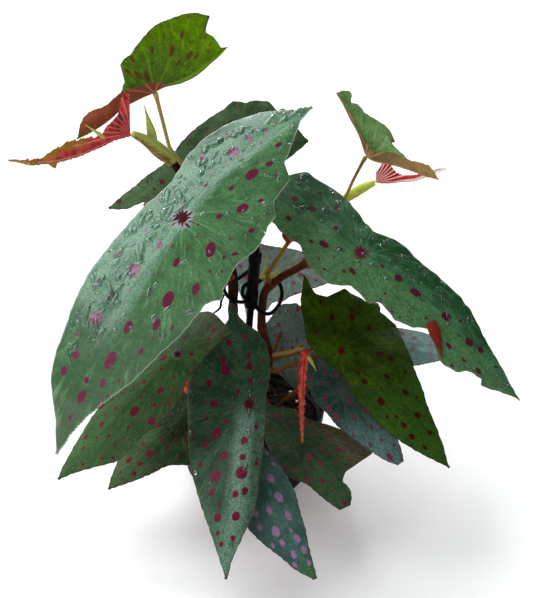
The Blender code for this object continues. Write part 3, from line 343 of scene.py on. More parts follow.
# Each leaf, in millimetres and degrees: its midrib from the short tip to the long tip, the way its
# upper side faces, fold and curl of the left and right half, and half widths at the stations.
# "heart" is the point of the midrib over the stalk where it isn't HEART_AT. "trim", "saw" and
# "teeth" shape a margin further, "end" shapes the short end and "lean" slants the cross rows.
# "wave" is the height and number of waves along a margin, and "pulls" move the blade at a place.
# "tints" are a colour, its share, and the distances ahead of the heart and across the midrib
# between which it sets in. Some of these colours are the leaf's own, and some are painted sheen
# and painted shade. "dots" are the spacing and sizes of spots, "ovals" how long the listed
# spots of the left and right half are, and "rayed" turns them away from the heart.
# "drops", "glints" and "beads" are water: number, shares of the blade along and across it between
# which they stand, smallest and largest radius, and stretch. "slivers" are green bud scales by the
# stalk and "flaps" turned-over bits of the margin, each with its base, tip and width. A stalk runs
# from the blade through its "via" points to a height on its stem.
LEAVES = {
    "leaf_front_left": {
        "midrib": [
            (17, 0, 211), (-6, -18, 198), (-26, -38, 183), (-40, -58, 169), (-56, -78, 144),
            (-69, -92, 117), (-81, -99, 89), (-89, -103, 62),
        ],
        "faces": (-0.2, -0.5, 0.84), "fold": [(0, 6, -14)], "curl": (-8, -20),
        "left": (0, 4.5, 14, 20, 21, 17, 20.5, 24, 25.5, 24, 19, 7.5, 0),
        "right": (0, 4.5, 14, 25, 34, 39.5, 37.5, 32.5, 26, 20, 12, 5, 0),
        "trim": {
            "right": (
                (0, 0), (0.035, -1.6), (0.113, -3.1), (0.147, -4.4), (0.157, -1.2), (0.163, 1.4),
                (0.19, -0.6), (0.231, -3.4), (0.253, -2), (0.263, 0.2), (0.303, -2.2), (0.373, -3),
                (0.424, -4.3), (0.456, -2.9), (0.491, -0.3), (0.503, 0.3), (0.524, 3.2), (0.538, 0.5),
                (0.554, -0.9), (0.609, 1.2), (0.644, 2.4), (0.722, 0.9), (0.802, 0.4), (1, 0),
            ),
        },
        "saw": [("right", 0.8, 0.97, 110, 0.9)],
        # The first tint below is a painted sheen, the bright window mirrored on the left half; the second
        # and third darken the lower half towards the long tip as painted shade.
        "tints_and_painted_light": [
            ((0.260, 0.430, 0.335), 0.75, (86, 56), (-4.6, -2.2)),
            ((0.086, 0.066, 0.026), 0.95, (80, 110), None),
            ((0.034, 0.086, 0.034), 0.85, (35, 75), None),
        ],
        "wave": (0.5, 5), "ovals": (1.15, 1.9),
        "drops": [
            (130, (0.02, 0.8), (0.1, 1.0), (0.6, 1.9), 2.0),
            (34, (0.0, 0.3), (-0.6, 1.0), (0.45, 1.5), 2.0),
            (60, (0.38, 0.72), (0.15, 0.95), (0.8, 1.9), 2.0),
        ],
        "glints": [(56, (0.02, 0.78), (-1.0, 0.1), (0.45, 1.35), 2.6)],
        "heart": 3,
        "stalk": {
            "on": "cane_left", "height": 118, "via": [(-30, -36, 146), (-22, -15, 128)], "radius": 1.7,
        },
        "look": "sheen",
    },
    "leaf_front_right": {
        "midrib": [
            (-3, 0, 167), (16, -12, 161), (47, -32, 149), (82, -48, 132), (109, -58, 112),
            (131, -63, 92),
        ],
        "faces": (0.15, -0.5, 0.85), "fold": [(0, -15, 6)], "curl": (-20, -8),
        "left": (0, 9, 11.5, 14, 20, 20.5, 17.5, 15.5, 12.5, 16, 10.5, 6, 0),
        "right": (0, 18, 20.5, 22, 20, 18.5, 18.5, 15.5, 13.5, 11, 7, 3, 0),
        "trim": {
            "left": (
                (0, 0), (0.135, 2.9), (0.178, 3), (0.213, -0.7), (0.261, 0.5), (0.286, 0.5),
                (0.358, 1.9), (0.405, -2.6), (0.489, -0.5), (0.504, -1.3), (0.569, 2.2), (0.627, 1.4),
                (0.66, -2.5), (0.72, -1), (0.754, 0.7), (0.812, 1.4), (0.822, -1.1), (0.872, -1.1),
                (0.884, 1.9), (0.94, -0.4), (1, 0),
            ),
            "right": (
                (0, 0), (0.143, 0.9), (0.226, -0.9), (0.351, -3.4), (0.434, 0), (0.554, 0.1),
                (0.667, 2.8), (0.759, 0.1), (0.885, -1.1), (1, 0),
            ),
        },
        # The second and third tint colours darken the upper margin on either side of the heart: painted
        # shade.
        "tints_and_painted_light": [
            ((0.088, 0.196, 0.070), 0.9, (-60, -50), (-1.5, 3.5)),
            ((0.006, 0.038, 0.008), 0.9, (-8, 0), (-4, -8)),
            ((0.024, 0.078, 0.034), 0.8, (-10, -24), (1, -6)),
        ],
        "wave": (0.6, 6), "ovals": (1.8, 1.2),
        "beads": [
            (110, (0.05, 0.75), (-1.0, 0.3), (0.5, 1.6), 1.2),
            (40, (0.3, 0.95), (-0.8, 0.9), (0.4, 1.1), 1.2),
        ],
        "stalk": {
            "on": "cane_right", "height": 111.5,
            "via": [(36, -16, 144), (19, 1, 145), (12.3, 4, 137.5), (5.6, 5, 124)], "radius": 1.25,
        },
        "slivers": [
            ((0.2, 5, 112.9), (1.1, 7, 126), 1.6), ((4.5, 6, 111.7), (8.9, 7, 121.6), 2.6),
            ((5, 5, 116), (-2.5, 4, 114), 2.6),
        ],
        "pulls": [((51, -47.5, 132.5), (1, -2.5, -2.6), 4.0)],
        "flaps": [
            ((82.8, -56.5, 127), (90.3, -63.8, 111), 3.9),
            ((11.8, -17, 151.2), (11.1, -16, 142.5), 5.5),
        ],
        "stalk_colours": RED_OCHRE_STALK, "look": "deep",
    },
    "leaf_back_left": {
        "midrib": [(17, 22, 186), (-3, 23, 184), (-27, 23, 174), (-56, 20, 158), (-84, 14, 142)],
        "faces": (-0.1, -0.8, 0.6), "fold": [(0, -4, -6)], "curl": (-8, -12),
        "left": (0, 5, 16, 22.5, 25, 24, 21, 16.5, 10, 7, 4.5, 2.5, 0),
        "right": (0, 5, 11, 18, 23, 25, 25, 22, 16, 9, 5.5, 4.5, 0),
        "trim": {
            "left": (
                (0, 0), (0.12, 0), (0.145, -3.7), (0.172, 0.8), (0.203, 0.6), (0.251, -0.7),
                (0.285, 1.5), (0.3, 2.4), (0.338, 0.7), (0.414, 0.9), (0.466, 0.5), (1, 0),
            ),
        },
        "tints_and_painted_light": [((0.15, 0.26, 0.12), 0.8, (15, 50), None)],
        "wave": (0.5, 4),
        "stalk": {
            "on": "cane_left", "height": 137, "via": [(-25, 28, 153), (-22, 14, 138)], "radius": 1.5,
        },
        "look": "soft",
    },
    "leaf_top_left": {
        "midrib": [
            (-27, 8, 235), (-42, 3, 222), (-61, -5, 213), (-78, -12, 203), (-86, -17, 196),
            (-96, -20, 190),
        ],
        "faces": (0.0, 0.1, 1.0),
        "fold": [(0, 55, 8), (0.36, 58, 8), (0.42, 60, 14), (0.55, 70, 70), (1, 80, 80)],
        "curl": (10, 10),
        "left": (22, 26, 29, 30.5, 31, 30, 26, 20, 7, 5.5, 8.5, 7, 0),
        "right": (0, 5, 9, 12.5, 14, 12, 9, 7, 8, 7.5, 10, 7, 0),
        "trim": {
            "left": (
                (0, -3.6), (0.04, -1.8), (0.085, -0.9), (0.155, -0.5), (0.371, -0.8), (0.444, -1.1),
                (0.514, -1.9), (0.566, 2), (0.597, 4.9), (0.606, -1.5), (0.63, 0.4), (0.7, 0), (1, 0),
            ),
        },
        "tints_and_painted_light": [((0.085, 0.150, 0.035), 0.75, (-34, -8), (30, 10))],
        "ovals": (2.8, 2.8), "rayed": True,
        "end": [(0, 0), (0.12, 3), (0.3, 2.6), (0.5, 2.6), (0.72, 4.2), (0.85, 1.8), (1, -2.4)],
        "stalk": {
            "on": "cane_left", "height": 169, "drop": 1.5, "via": [(-53.4, 9, 180)], "radius": 1.1,
        },
        "look": "bright",
    },
    "leaf_top_right": {
        "midrib": [
            (28.5, 14, 215), (35.3, 10, 206), (42.2, 5, 196), (46.6, 0, 188), (62, -4, 186),
            (73, -7, 184), (83, -8, 182),
        ],
        "faces": (0.55, 0.1, 0.8),
        "fold": [(0, 20, 50), (0.3, 40, 55), (0.55, 75, 60), (1, 80, 70)],
        "curl": (0, -12),
        "left": (3, 2.5, 2, 3.5, 2, 3, 5, 5, 6, 4.5, 5.5, 4.5, 0),
        "right": (7, 8, 6, 9, 11.5, 15.5, 17, 18, 8.5, 5.5, 5, 3.5, 0),
        "trim": {
            "right": (
                (0, -3.2), (0.03, -0.4), (0.06, -0.2), (0.105, -1.5), (0.133, 0.9), (0.203, -0.8),
                (0.283, 1), (0.348, 1.7), (0.501, -0.1), (0.612, 2.6), (0.652, 1.9), (0.709, 0.6),
                (0.737, -0.3), (0.792, -0.7), (0.875, 0.8), (0.91, 1.5), (0.94, 0), (1, 0),
            ),
        },
        "heart": 3,
        "stalk": {
            "on": "cane_right", "height": 157, "drop": 1.5, "via": [(41.6, 4, 174)], "radius": 0.9,
        },
        "look": "pale",
    },
    "leaf_right_low": {
        "midrib": [
            (21, -8, 124), (32, -22, 110), (43, -36, 96), (59, -50, 86), (79, -64, 72), (100, -75, 57),
        ],
        "faces": (0.2, -0.75, 0.6), "fold": [(0, -8, -8)], "curl": (-15, -15),
        "left": (0, 3, 7.5, 10.5, 13, 10, 7.5, 10.5, 10.5, 9.5, 6.5, 3, 0),
        "right": (0, 1, 5, 30, 39, 41, 36, 30, 23.5, 17, 11, 5.5, 0),
        # The tint lightens the blade towards the long tip: painted light.
        "tints_and_painted_light": [((0.034, 0.105, 0.014), 0.8, (8, 50), None)],
        "trim": {
            "right": (
                (0, 0), (0.07, -2), (0.098, -3.3), (0.112, -3.3), (0.12, -5.2), (0.129, 4.6),
                (0.138, 5.7), (0.163, 0.2), (0.186, -3.4), (0.194, 3.6), (0.236, -2.9), (0.261, -1.7),
                (0.298, -1.1), (0.5, -0.8), (0.7, 0), (1, 0),
            ),
        },
        "pulls": [((43, -9, 115), (0, 0, 3.2), 2.4), ((37.5, -12, 115), (0, 0, -1.2), 2.4)],
        "wave": (0.5, 5),
        "stalk": {
            "on": "cane_right", "height": 62,
            "via": [(32.3, -20, 83.8), (23.7, -12, 74), (16.1, -6, 68.2)], "radius": 1.3,
        },
        "look": "olive",
    },
    "leaf_front": {
        "midrib": [
            (-14.5, -37, 117.7), (-8, -54, 98), (-1, -72, 81), (0, -95, 63), (-1, -118, 42),
            (-4, -131, 20),
        ],
        "faces": (0.0, -0.75, 0.66), "fold": [(0, -10, -10)], "curl": (-18, -18),
        "left": (0, 4, 8, 19, 29.5, 32, 31.5, 29.5, 25.5, 20, 13, 6, 0),
        "right": (0, 5, 11, 15, 14, 9, 8, 8, 7.5, 7, 3.5, 1, 0),
        "trim": {
            "left": (
                (0, 0.2), (0.02, -1.2), (0.043, -2.3), (0.06, -2.6), (0.085, -0.6), (0.1, 1.2),
                (0.153, 2.8), (0.183, 2.5), (0.211, 2.2), (0.3, 0), (1, 0),
            ),
            "right": (
                (0, 0.6), (0.013, 0.4), (0.04, -2.3), (0.058, -3.7), (0.088, -3.4), (0.108, -1.0),
                (0.153, 0.3), (0.25, 0), (1, 0),
            ),
        },
        # The first tint is a painted sheen in a strip along the midrib, the third a painted sheen towards
        # the long tip.
        "tints_and_painted_light": [
            ((0.23, 0.37, 0.28), 0.85, (-4, 10), (9.5, 3.5)),
            ((0.034, 0.086, 0.040), 0.85, (-30, -20), (-1, -4)),
            ((0.138, 0.270, 0.182), 0.85, (36, 88), None),
        ],
        "wave": (0.4, 5), "ovals": (1.2, 1.4),
        "drops": [
            (26, (0.25, 0.9), (-0.5, 0.5), (0.5, 1.4), 1.6),
            (26, (0.1, 0.9), (0.0, 0.95), (0.35, 1.0), 1.0),
        ],
        "stalk": {
            "on": "cane_left", "height": 64, "via": [(-3, -45, 70), (-7, -20, 66)], "radius": 1.6,
        },
        "look": "dark",
    },
    "leaf_left_mid": {
        "midrib": [
            (-12.3, -60, 113), (-24.6, -63, 107.8), (-37.5, -67, 102), (-51.8, -74, 87.7),
            (-71.2, -83, 64.6), (-90.3, -90, 39.6),
        ],
        "faces": (-0.25, -0.6, 0.76), "fold": [(0, -10, -12)], "curl": (-15, -15),
        "left": (0, 14.5, 21, 22.5, 20.5, 19, 17.5, 15, 12.5, 9.5, 6.5, 4, 0),
        "right": (0, 1.5, 4.5, 9, 12.5, 16.5, 18.5, 17.5, 16.5, 16, 9.5, 4, 0),
        "tints_and_painted_light": [
            ((0.085, 0.070, 0.036), 0.9, (-6, -20), None),
            ((0.050, 0.052, 0.020), 0.75, (0, 16), (-2, -12)),
            ((0.080, 0.165, 0.062), 0.6, (10, 40), None),
        ],
        "wave": (0.4, 4),
        "stalk": {
            "on": "cane_left", "height": 82, "via": [(-44, -50, 92), (-37, -32, 86), (-24, -13, 83)],
            "radius": 1.4,
        },
        "dots": (5.4, 0.8, 2.4), "look": "brown_green",
    },
    "leaf_left_low": {
        "midrib": [(-17, -22, 70), (-25, -34, 63), (-35, -48, 54), (-51, -62, 40), (-68, -71, 24)],
        "faces": (-0.2, -0.7, 0.68), "fold": [(0, -10, -10)], "curl": (-12, -12),
        "left": (0, 13, 16.5, 18.5, 18.5, 19, 19, 17, 15, 12, 9, 5, 0),
        "right": (0, 5, 12, 15, 19, 21, 23, 20, 12, 9, 6, 3, 0),
        # The first tint is painted shadow, cast by the leaf above on the upper half near the heart.
        "tints_and_painted_light": [
            ((0.015, 0.010, 0.005), 1.0, (17, 7), (-10, -4)),
            ((0.10, 0.16, 0.075), 0.9, (14, 36), None),
        ],
        "wave": (0.4, 4),
        "stalk": {
            "on": "cane_left", "height": 49, "via": [(-30, -38, 48), (-18, -18, 48)], "radius": 1.3,
        },
        "dots": (4.6, 0.9, 2.2), "look": "brown",
    },
    "leaf_front_low": {
        "midrib": [(-14, -52, 64), (-6, -64, 59), (3, -78, 54), (21, -108, 40), (37, -130, 24)],
        "faces": (0.15, -0.7, 0.7), "fold": [(0, -8, -8)], "curl": (-12, -12),
        "left": (0, 5.5, 10, 13, 16, 18, 19, 19, 17, 14, 9, 5.5, 0.5),
        "right": (0, 5.5, 8, 9, 9, 11, 12, 12, 10, 8, 5, 3, 1.5),
        "tints_and_painted_light": [((0.05, 0.15, 0.02), 1.0, (56, 68), None)],
        "ovals": (1.6, 1.6), "wave": (0.3, 4),
        "stalk": {"on": "cane_right", "height": 51, "via": [(1, -55, 49), (3, -25, 50)], "radius": 1.3},
        "look": "blue",
    },
    "leaf_right_front": {
        "midrib": [(5, -24, 56), (13, -34, 54), (24, -48, 51), (37, -68, 45), (50, -83, 33)],
        "faces": (0.2, -0.65, 0.73), "fold": [(0, -5, -5)], "curl": (-12, -12),
        "left": (0, 1.5, 5, 9, 13, 15, 16, 16, 15, 10, 7, 4.5, 2),
        "right": (0, 1.5, 4.5, 11, 12, 16, 26, 32, 33, 28, 9, 7, 4),
        "trim": {
            "right": (
                (0, 0), (0.64, 0), (0.7, 2.4), (0.73, 2.2), (0.762, -3.4), (0.792, -8.2), (0.815, -5),
                (0.85, -1.2), (0.877, 1.1), (0.955, 1.6), (0.98, 1.2), (1, 0.6),
            ),
        },
        "tints_and_painted_light": [
            ((0.050, 0.128, 0.050), 0.8, (10, 40), None),
            ((0.15, 0.120, 0.065), 0.8, (-6, 4), (-8, -22)),
        ],
        "wave": (0.3, 4),
        "stalk": {
            "on": "cane_right", "height": 45, "via": [(20, -34, 46), (12, -14, 45)], "radius": 1.2,
        },
        "dots": (4.8, 0.8, 2.2), "look": "shade",
    },
    "leaf_right_mid": {
        "midrib": [(30, -8, 80), (37, -18, 76), (47, -30, 71), (62, -46, 61), (78, -60, 48)],
        "faces": (0.2, -0.7, 0.68), "fold": [(0, -6, -6)], "curl": (-12, -12),
        "left": (0, 3.5, 7, 12, 15, 16, 15, 15, 13, 11, 8, 5.5, 2),
        "right": (0, 7, 10, 12, 13, 13, 13, 12, 11, 9, 7, 5, 2),
        "tints_and_painted_light": [((0.19, 0.34, 0.32), 0.85, (6, 38), None)],
        "wave": (0.3, 4),
        "stalk": {
            "on": "mix", "foot": (14, -1, 30), "via": [(38, -22, 66), (25, -13, 60), (17, -5, 47)],
            "radius": 1.2,
        },
        "dots": (4.6, 0.9, 2.2), "look": "shade_blue",
    },
    "leaf_back_mid": {
        "midrib": [
            (-22, 28, 118), (-12, 26, 117.5), (-2, 24.5, 116.5), (13, 22, 114.5), (25, 19, 112.5),
            (36, 16, 110),
        ],
        "faces": (0.0, -0.95, 0.3), "fold": [(0, -3, -3)], "curl": (-8, -8),
        "left": (0, 8, 14, 19, 26, 36, 35, 19, 17, 13, 8, 4, 0),
        "right": (0, 3, 5, 7, 8, 8, 8.5, 9.5, 10, 9, 7, 3.5, 0),
        "trim": {
            "left": (
                (0, 0), (0.36, 0), (0.39, -8), (0.45, -14), (0.485, -8), (0.505, 1), (0.52, 3),
                (0.61, 3), (0.7, 0), (1, 0),
            ),
        },
        "heart": 3,
        "stalk": {"on": "cane_right", "height": 112, "via": [(15, 15, 116)], "radius": 1.1},
        "dots": (5.0, 0.9, 2.2), "look": "grey_blue",
    },
    "leaf_back_low": {
        "midrib": [(19, 16, 96), (18, 17, 84), (18, 16, 70), (22, 12, 57), (28, 8, 44)],
        "faces": (0.0, -0.85, 0.5), "fold": [(0, -5, -5)], "curl": (-12, -12),
        "left": (0, 6, 9, 11, 13.5, 15.5, 15, 13, 10, 7, 5, 2.5, 0),
        "right": (0, 4, 6, 8, 10, 11, 12, 13, 14, 13, 11, 8, 0),
        "trim": {
            "left": (
                (0, 0), (0.5, 0), (0.58, 2), (0.62, 3.8), (0.68, 3.2), (0.75, 1), (0.85, 0), (1, 0),
            ),
        },
        "heart": 1,
        "stalk": {"on": "cane_right", "height": 68, "via": [(12, 17, 76)], "radius": 1.0},
        "dots": (5.0, 0.8, 1.8), "look": "grey",
    },
    "leaf_back_right": {
        "midrib": [(55, -8, 91), (65, -10, 90), (78, -12, 90), (89, -14, 90), (102, -15, 91)],
        "faces": (0.1, -0.7, 0.7), "fold": [(0, -5, -5)], "curl": (-12, -12),
        "left": (0, 2.5, 5, 7, 9, 11, 11, 10, 9, 7, 5.5, 3.5, 0),
        "right": (0, 3.5, 9, 10, 10, 10, 10, 10, 10, 9, 7, 4.5, 0),
        "heart": 1,
        "stalk": {
            "on": "cane_right", "height": 67, "via": [(44, 0, 82), (24, 4, 73), (15, 6, 69)],
            "radius": 1.0,
        },
        "dots": (4.8, 0.9, 1.9), "look": "pale_blue",
    },
    "leaf_rear_left": {
        "midrib": [(-18, 36, 142), (-30, 46, 145), (-43, 58, 142), (-58, 78, 126), (-70, 98, 98)],
        "faces": (-0.2, 0.5, 0.84), "fold": [(0, -8, -8)], "curl": (-15, -15),
        "left": (0, 6, 12, 17, 20, 21, 21, 19, 16, 12, 8, 4, 0),
        "right": (0, 6, 12, 17, 20, 21, 21, 19, 16, 12, 8, 4, 0),
        "wave": (0.5, 4),
        "stalk": {
            "on": "cane_left", "height": 114, "via": [(-36, 50, 134), (-25, 18, 120)], "radius": 1.4,
        },
        "look": "deep",
    },
    "leaf_rear_right": {
        "midrib": [(24, 30, 118), (36, 40, 122), (50, 52, 118), (68, 70, 104), (84, 88, 82)],
        "faces": (0.2, 0.5, 0.84), "fold": [(0, -8, -8)], "curl": (-15, -15),
        "left": (0, 5, 9, 13, 15, 16, 16, 15, 13, 10, 7, 4, 0),
        "right": (0, 5, 9, 13, 15, 16, 16, 15, 13, 10, 7, 4, 0),
        "wave": (0.5, 4),
        "stalk": {
            "on": "cane_left", "height": 130, "via": [(34, 42, 110), (0.4, 37, 114.3), (-12, 19, 134)],
            "radius": 1.3,
        },
        "look": "deep",
    },
}

# Young leaves still pressed shut, seen from the side: one half carries the shape
YOUNG = {
    "young_leaf_left": {
        "midrib": [
            (-70.4, -18, 194.8), (-80, -20, 190.7), (-86, -21.5, 187.5), (-96.2, -24, 182.8),
            (-103.2, -26, 180.8), (-117.6, -27, 178.4), (-128.1, -28, 178.8),
        ],
        "faces": (0.0, -1.0, 0.0),
        "left": (18, 18.4, 12, 8, 5.8, 6.8, 7.3, 7.2, 5.2, 2, 1.6, 1.2, 0.5),
        "lean": 19,
        "right": (1, 1, 1, 1, 1, 1, 1, 1, 1, 1, 1, 0.8, 0.5),
        "teeth": [("right", 0.66, 3, 0.04)],
        "slivers": [((-82, -19.8, 191.5), (-92, -21, 198), 1.2)],
        "veins": 15, "pleat": 0.4, "ruffle": 0.9,
        "trim": {
            "left": (
                (0, 0), (0.065, 2), (0.08, 3), (0.09, -1.3), (0.145, -0.5), (0.198, -0.2),
                (0.228, -1.3), (0.358, 0.3), (0.454, 0.4), (0.549, 1.2), (0.622, 0.7), (0.684, 1.4),
                (0.737, 0.4), (0.842, 0.6), (1, 0),
            ),
        },
        "saw": [("left", 0.2, 0.95, 13, 0.9)], "grid": (220, 40), "look": RED_PLEATS,
    },
    "young_leaf_right": {
        "midrib": [
            (53.1, 7, 172.9), (60.3, 7, 173.5), (67.8, 7, 175), (72.8, 7, 176), (79.1, 7, 179),
            (87.7, 7, 183.1),
        ],
        "faces": (0.0, -1.0, 0.0),
        "left": (0.5, 1, 1, 1, 1, 1, 1, 1, 1, 1, 0.8, 0.6, 0),
        "right": (5, 7, 10.8, 12.3, 6, 3.2, 2.4, 2.1, 1.9, 1.6, 1.2, 1, 0),
        "veins": 15, "pleat": 0.5, "grid": (150, 26), "look": PINK_PLEATS,
    },
    "young_leaf_low": {
        "midrib": [(25.5, -22.5, 88), (24.8, -32, 77), (25.4, -42, 69), (27.6, -57, 53)],
        "faces": (0.0, -1.0, 0.0),
        "left": (1.8, 2.3, 2.5, 2.5, 2.4, 2.4, 2.3, 2.1, 1.9, 1.7, 1.3, 0.8, 0),
        "right": (1.8, 2.3, 2.5, 2.5, 2.4, 2.4, 2.3, 2.1, 1.9, 1.7, 1.3, 0.8, 0),
        "slivers": [((27, -24, 85), (32, -26, 78), 1.2)],
        "saw": [("left", 0.05, 0.95, 13, 1.0), ("right", 0.05, 0.95, 11, 1.0)],
        "ruffle": 0.9, "veins": 12, "pleat": 0.3, "grid": (150, 14), "look": RED_FRILLS,
    },
    "young_leaf_base": {
        "midrib": [(-33.7, -36, 79.8), (-35.2, -37, 72.8), (-33.6, -38, 64.8)],
        "faces": (0.0, -1.0, 0.0),
        "left": (1, 1.4, 1.6, 1.7, 1.8, 1.8, 1.8, 1.7, 1.6, 1.4, 1.2, 0.9, 0),
        "right": (1, 1.4, 1.6, 1.7, 1.8, 1.8, 1.8, 1.7, 1.6, 1.4, 1.2, 0.9, 0),
        "veins": 12, "pleat": 0.2, "grid": (60, 10), "look": RED_FRILLS,
    },
}

# Green shoots that carry the young leaves, with their pointed bud scales
SHOOTS = {
    "shoot_left": {
        "line": [
            (-50.7, 2, 174.9), (-52.8, 1.4, 177.2), (-57.1, -2, 181.7), (-61.9, -6, 186.8),
            (-66.5, -10, 190.7), (-69.6, -13, 192.9),
        ],
        "radius": (2.8, 3.8, 3.8, 3.2, 2.4, 1.7),
        "slivers": [((-60, -4, 185.5), (-66, -3, 205.1), 3.0)],
        "skin": ((0.42, 0.47, 0.09), (0.15, 0.07, 0.010), (0.60, 0.64, 0.2)),
    },
    "shoot_right": {
        "line": [(39, 10, 161), (42.1, 9.5, 163.7), (46.9, 9, 167.7), (52.6, 8, 171.6)],
        "radius": (2.3, 2.6, 2.4, 1.5),
        "slivers": [((43, 8.6, 165.5), (54.5, 7, 174), 2.2)],
        "skin": ((0.50, 0.58, 0.06), (0.34, 0.36, 0.04), (0.64, 0.70, 0.16)),
    },
    "shoot_low": {
        "line": [(9.9, 1.2, 70.8), (14, -5, 75), (19, -11.5, 80), (23, -17, 84.8), (25.3, -21.5, 87.4)],
        "radius": (1.7, 1.7, 1.7, 1.7, 1.1),
        "slivers": [((20, -13, 81.5), (25.5, -15, 90), 1.5)],
        "skin": ((0.20, 0.12, 0.02), (0.10, 0.05, 0.012), (0.30, 0.22, 0.05)),
    },
    "shoot_base": {
        "line": [(-13.6, -4.8, 66), (-20, -14, 72), (-30, -32.6, 81.4), (-33.1, -35.1, 80.4)],
        "radius": (1.0, 0.8), "slivers": [],
        "skin": ((0.25, 0.10, 0.03), (0.12, 0.05, 0.015), (0.35, 0.2, 0.06)),
    },
}

# Large spots seen in the photograph: place and radius in its pixels
SPOTS = {
    "leaf_top_left": [
        (183, 35, 3.0), (164, 36, 2.4), (172, 52, 4.2), (190, 55, 3.9), (197, 57, 2.6), (206, 36, 2.0),
        (210, 44, 1.8), (209, 52, 1.8), (146, 77, 3.4), (138, 75, 3.4), (128, 71, 2.6), (132, 60, 2.6),
        (178, 63, 2.6), (152, 50, 2.6), (170, 25, 1.6),
    ],
    "leaf_front_left": [
        (265, 129, 3), (249, 138, 3.4), (227, 134, 2), (233, 152, 5.4), (279, 145, 3), (203, 158, 3.2),
        (270, 164, 3.3), (251, 175, 5.6), (275, 176, 1.8), (231, 189, 2.6), (206, 187, 2.3),
        (261, 200, 2.6), (242, 209, 5.4), (219, 217, 3), (251, 230, 3), (210, 250, 5.8),
        (224, 258, 2.2), (235, 254, 2.5), (222, 271, 1.5), (176, 263, 3.6), (195, 289, 4.4),
        (167, 300, 6), (147, 298, 1.6), (157, 325, 4.2), (171, 328, 2.2), (128, 328, 4.6),
        (141, 351, 2.8), (111, 360, 6), (77, 354, 4), (64, 371, 3.8), (78, 333, 2.2), (96, 320, 7),
        (112, 295, 3.4), (98, 281, 2.4), (134, 270, 6.6), (160, 245, 3.4), (118, 255, 3), (145, 231, 2),
        (87, 380, 2.9), (103, 382, 3.4), (82, 396, 5), (120, 381, 1.8), (71, 417, 2.8), (97, 412, 1.2),
    ],
    "leaf_front_right": [
        (295, 200, 3.4), (312, 209, 3.6), (336, 208, 2.4), (320, 194, 1.8), (289, 219, 2.6),
        (336, 228, 3), (323, 244, 3.8), (311, 242, 2.2), (340, 249, 2.2), (352, 271, 3.1),
        (344, 272, 1.9), (325, 269, 2), (382, 266, 1.7), (398, 278, 4), (416, 293, 4.6),
        (425, 277, 1.2), (443, 293, 1.7), (446, 317, 4.4), (461, 322, 2), (469, 342, 4),
        (481, 351, 3.2), (458, 335, 1.6), (449, 346, 2.6), (478, 371, 2.6), (463, 360, 2),
        (495, 367, 1.8), (486, 344, 2), (507, 378, 1.6),
    ],
    "leaf_right_low": [
        (332, 317, 2.9), (352, 318, 3.5), (369, 329, 3.2), (384, 336, 2.4), (352, 309, 2),
        (320, 302, 2.1), (335, 333, 2), (317, 332, 1.8), (379, 354, 3.4), (390, 358, 3.3),
        (387, 377, 3.2), (365, 382, 3.2), (358, 372, 2.2), (381, 402, 3.7), (406, 393, 3.2),
        (405, 372, 2.2), (418, 416, 3.2), (404, 425, 3), (417, 398, 1.8), (412, 437, 2.8),
        (430, 433, 2.6), (425, 448, 2.2), (396, 416, 1.9), (387, 417, 1.9),
    ],
    "leaf_front": [
        (245, 338, 2.6), (229, 344, 2.8), (248, 355, 2.8), (224, 360, 3), (226, 371, 4.8),
        (250, 367, 3.8), (263, 360, 1.8), (209, 384, 3.4), (250, 382, 2.4), (262, 381, 1.7),
        (238, 391, 2.6), (214, 404, 4.3), (205, 402, 2), (206, 419, 2.6), (227, 422, 2.4),
        (216, 434, 5.4), (256, 427, 2.6), (205, 446, 3.4), (244, 441, 3.6), (224, 455, 4.2),
        (243, 458, 3.1), (200, 465, 2.5), (242, 472, 5.6), (216, 477, 5.6), (256, 464, 2.3),
        (212, 492, 3.4), (235, 495, 3.1), (245, 491, 3.2), (220, 504, 2.1), (218, 517, 4),
        (236, 517, 4), (218, 533, 2.2), (233, 538, 2.4), (221, 545, 2.4),
    ],
    "leaf_front_low": [
        (271, 479, 4), (279, 497, 4.6), (269, 511, 3.3), (288, 516, 3.7), (276, 531, 4.3),
        (297, 539, 3.4), (282, 543, 3), (291, 531, 1.8), (294, 555, 3), (304, 551, 3.1),
        (255, 514, 3.2), (260, 527, 2.8), (274, 464, 2), (295, 566, 2.4), (273, 546, 2),
        (309, 563, 2.2),
    ],
}


def unit(rows):
    """The same directions with length 1."""
    rows = np.asarray(rows, float)
    return rows / np.linalg.norm(rows, axis=-1, keepdims=True)


def smooth(at, values, wanted):
    """A smooth curve through the values at these stations."""
    at = np.asarray(at, float)
    values = np.asarray(values, float)
    slopes = np.gradient(values, at, axis=0)
    low = np.clip(np.searchsorted(at, wanted, side="right") - 1, 0, len(at) - 2)
    shape = (-1,) + (1,) * (values.ndim - 1)
    step = (at[low + 1] - at[low]).reshape(shape)
    t = (np.asarray(wanted, float) - at[low]).reshape(shape) / step
    return (
        (2 * t**3 - 3 * t**2 + 1) * values[low]
        + (t**3 - 2 * t**2 + t) * step * slopes[low]
        + (3 * t**2 - 2 * t**3) * values[low + 1]
        + (t**3 - t**2) * step * slopes[low + 1]
    )


def lengths(points):
    """How far along a line each of its points is, from 0 to 1."""
    steps = np.linalg.norm(np.diff(np.asarray(points, float), axis=0), axis=1)
    return np.concatenate([[0.0], np.cumsum(steps)]) / steps.sum()


def along(points, wanted):
    """Places on a smooth line through the points, at these shares of its length."""
    return smooth(lengths(points), points, wanted)


def line_length(points):
    return np.linalg.norm(np.diff(np.asarray(points, float), axis=0), axis=1).sum()


def eased(value, low, high):
    """0 below low, 1 above high, and a smooth step between."""
    t = np.clip((np.asarray(value, float) - low) / (high - low), 0, 1)
    return t * t * (3 - 2 * t)


def ripple(rng, waves, at):
    """A sum of sine waves of about these counts along a line from 0 to 1."""
    total = np.zeros_like(at)
    for count, height in waves:
        turns = count * at * rng.uniform(0.9, 1.1) + rng.random()
        total = total + height * np.sin(2 * math.pi * turns)
    return total


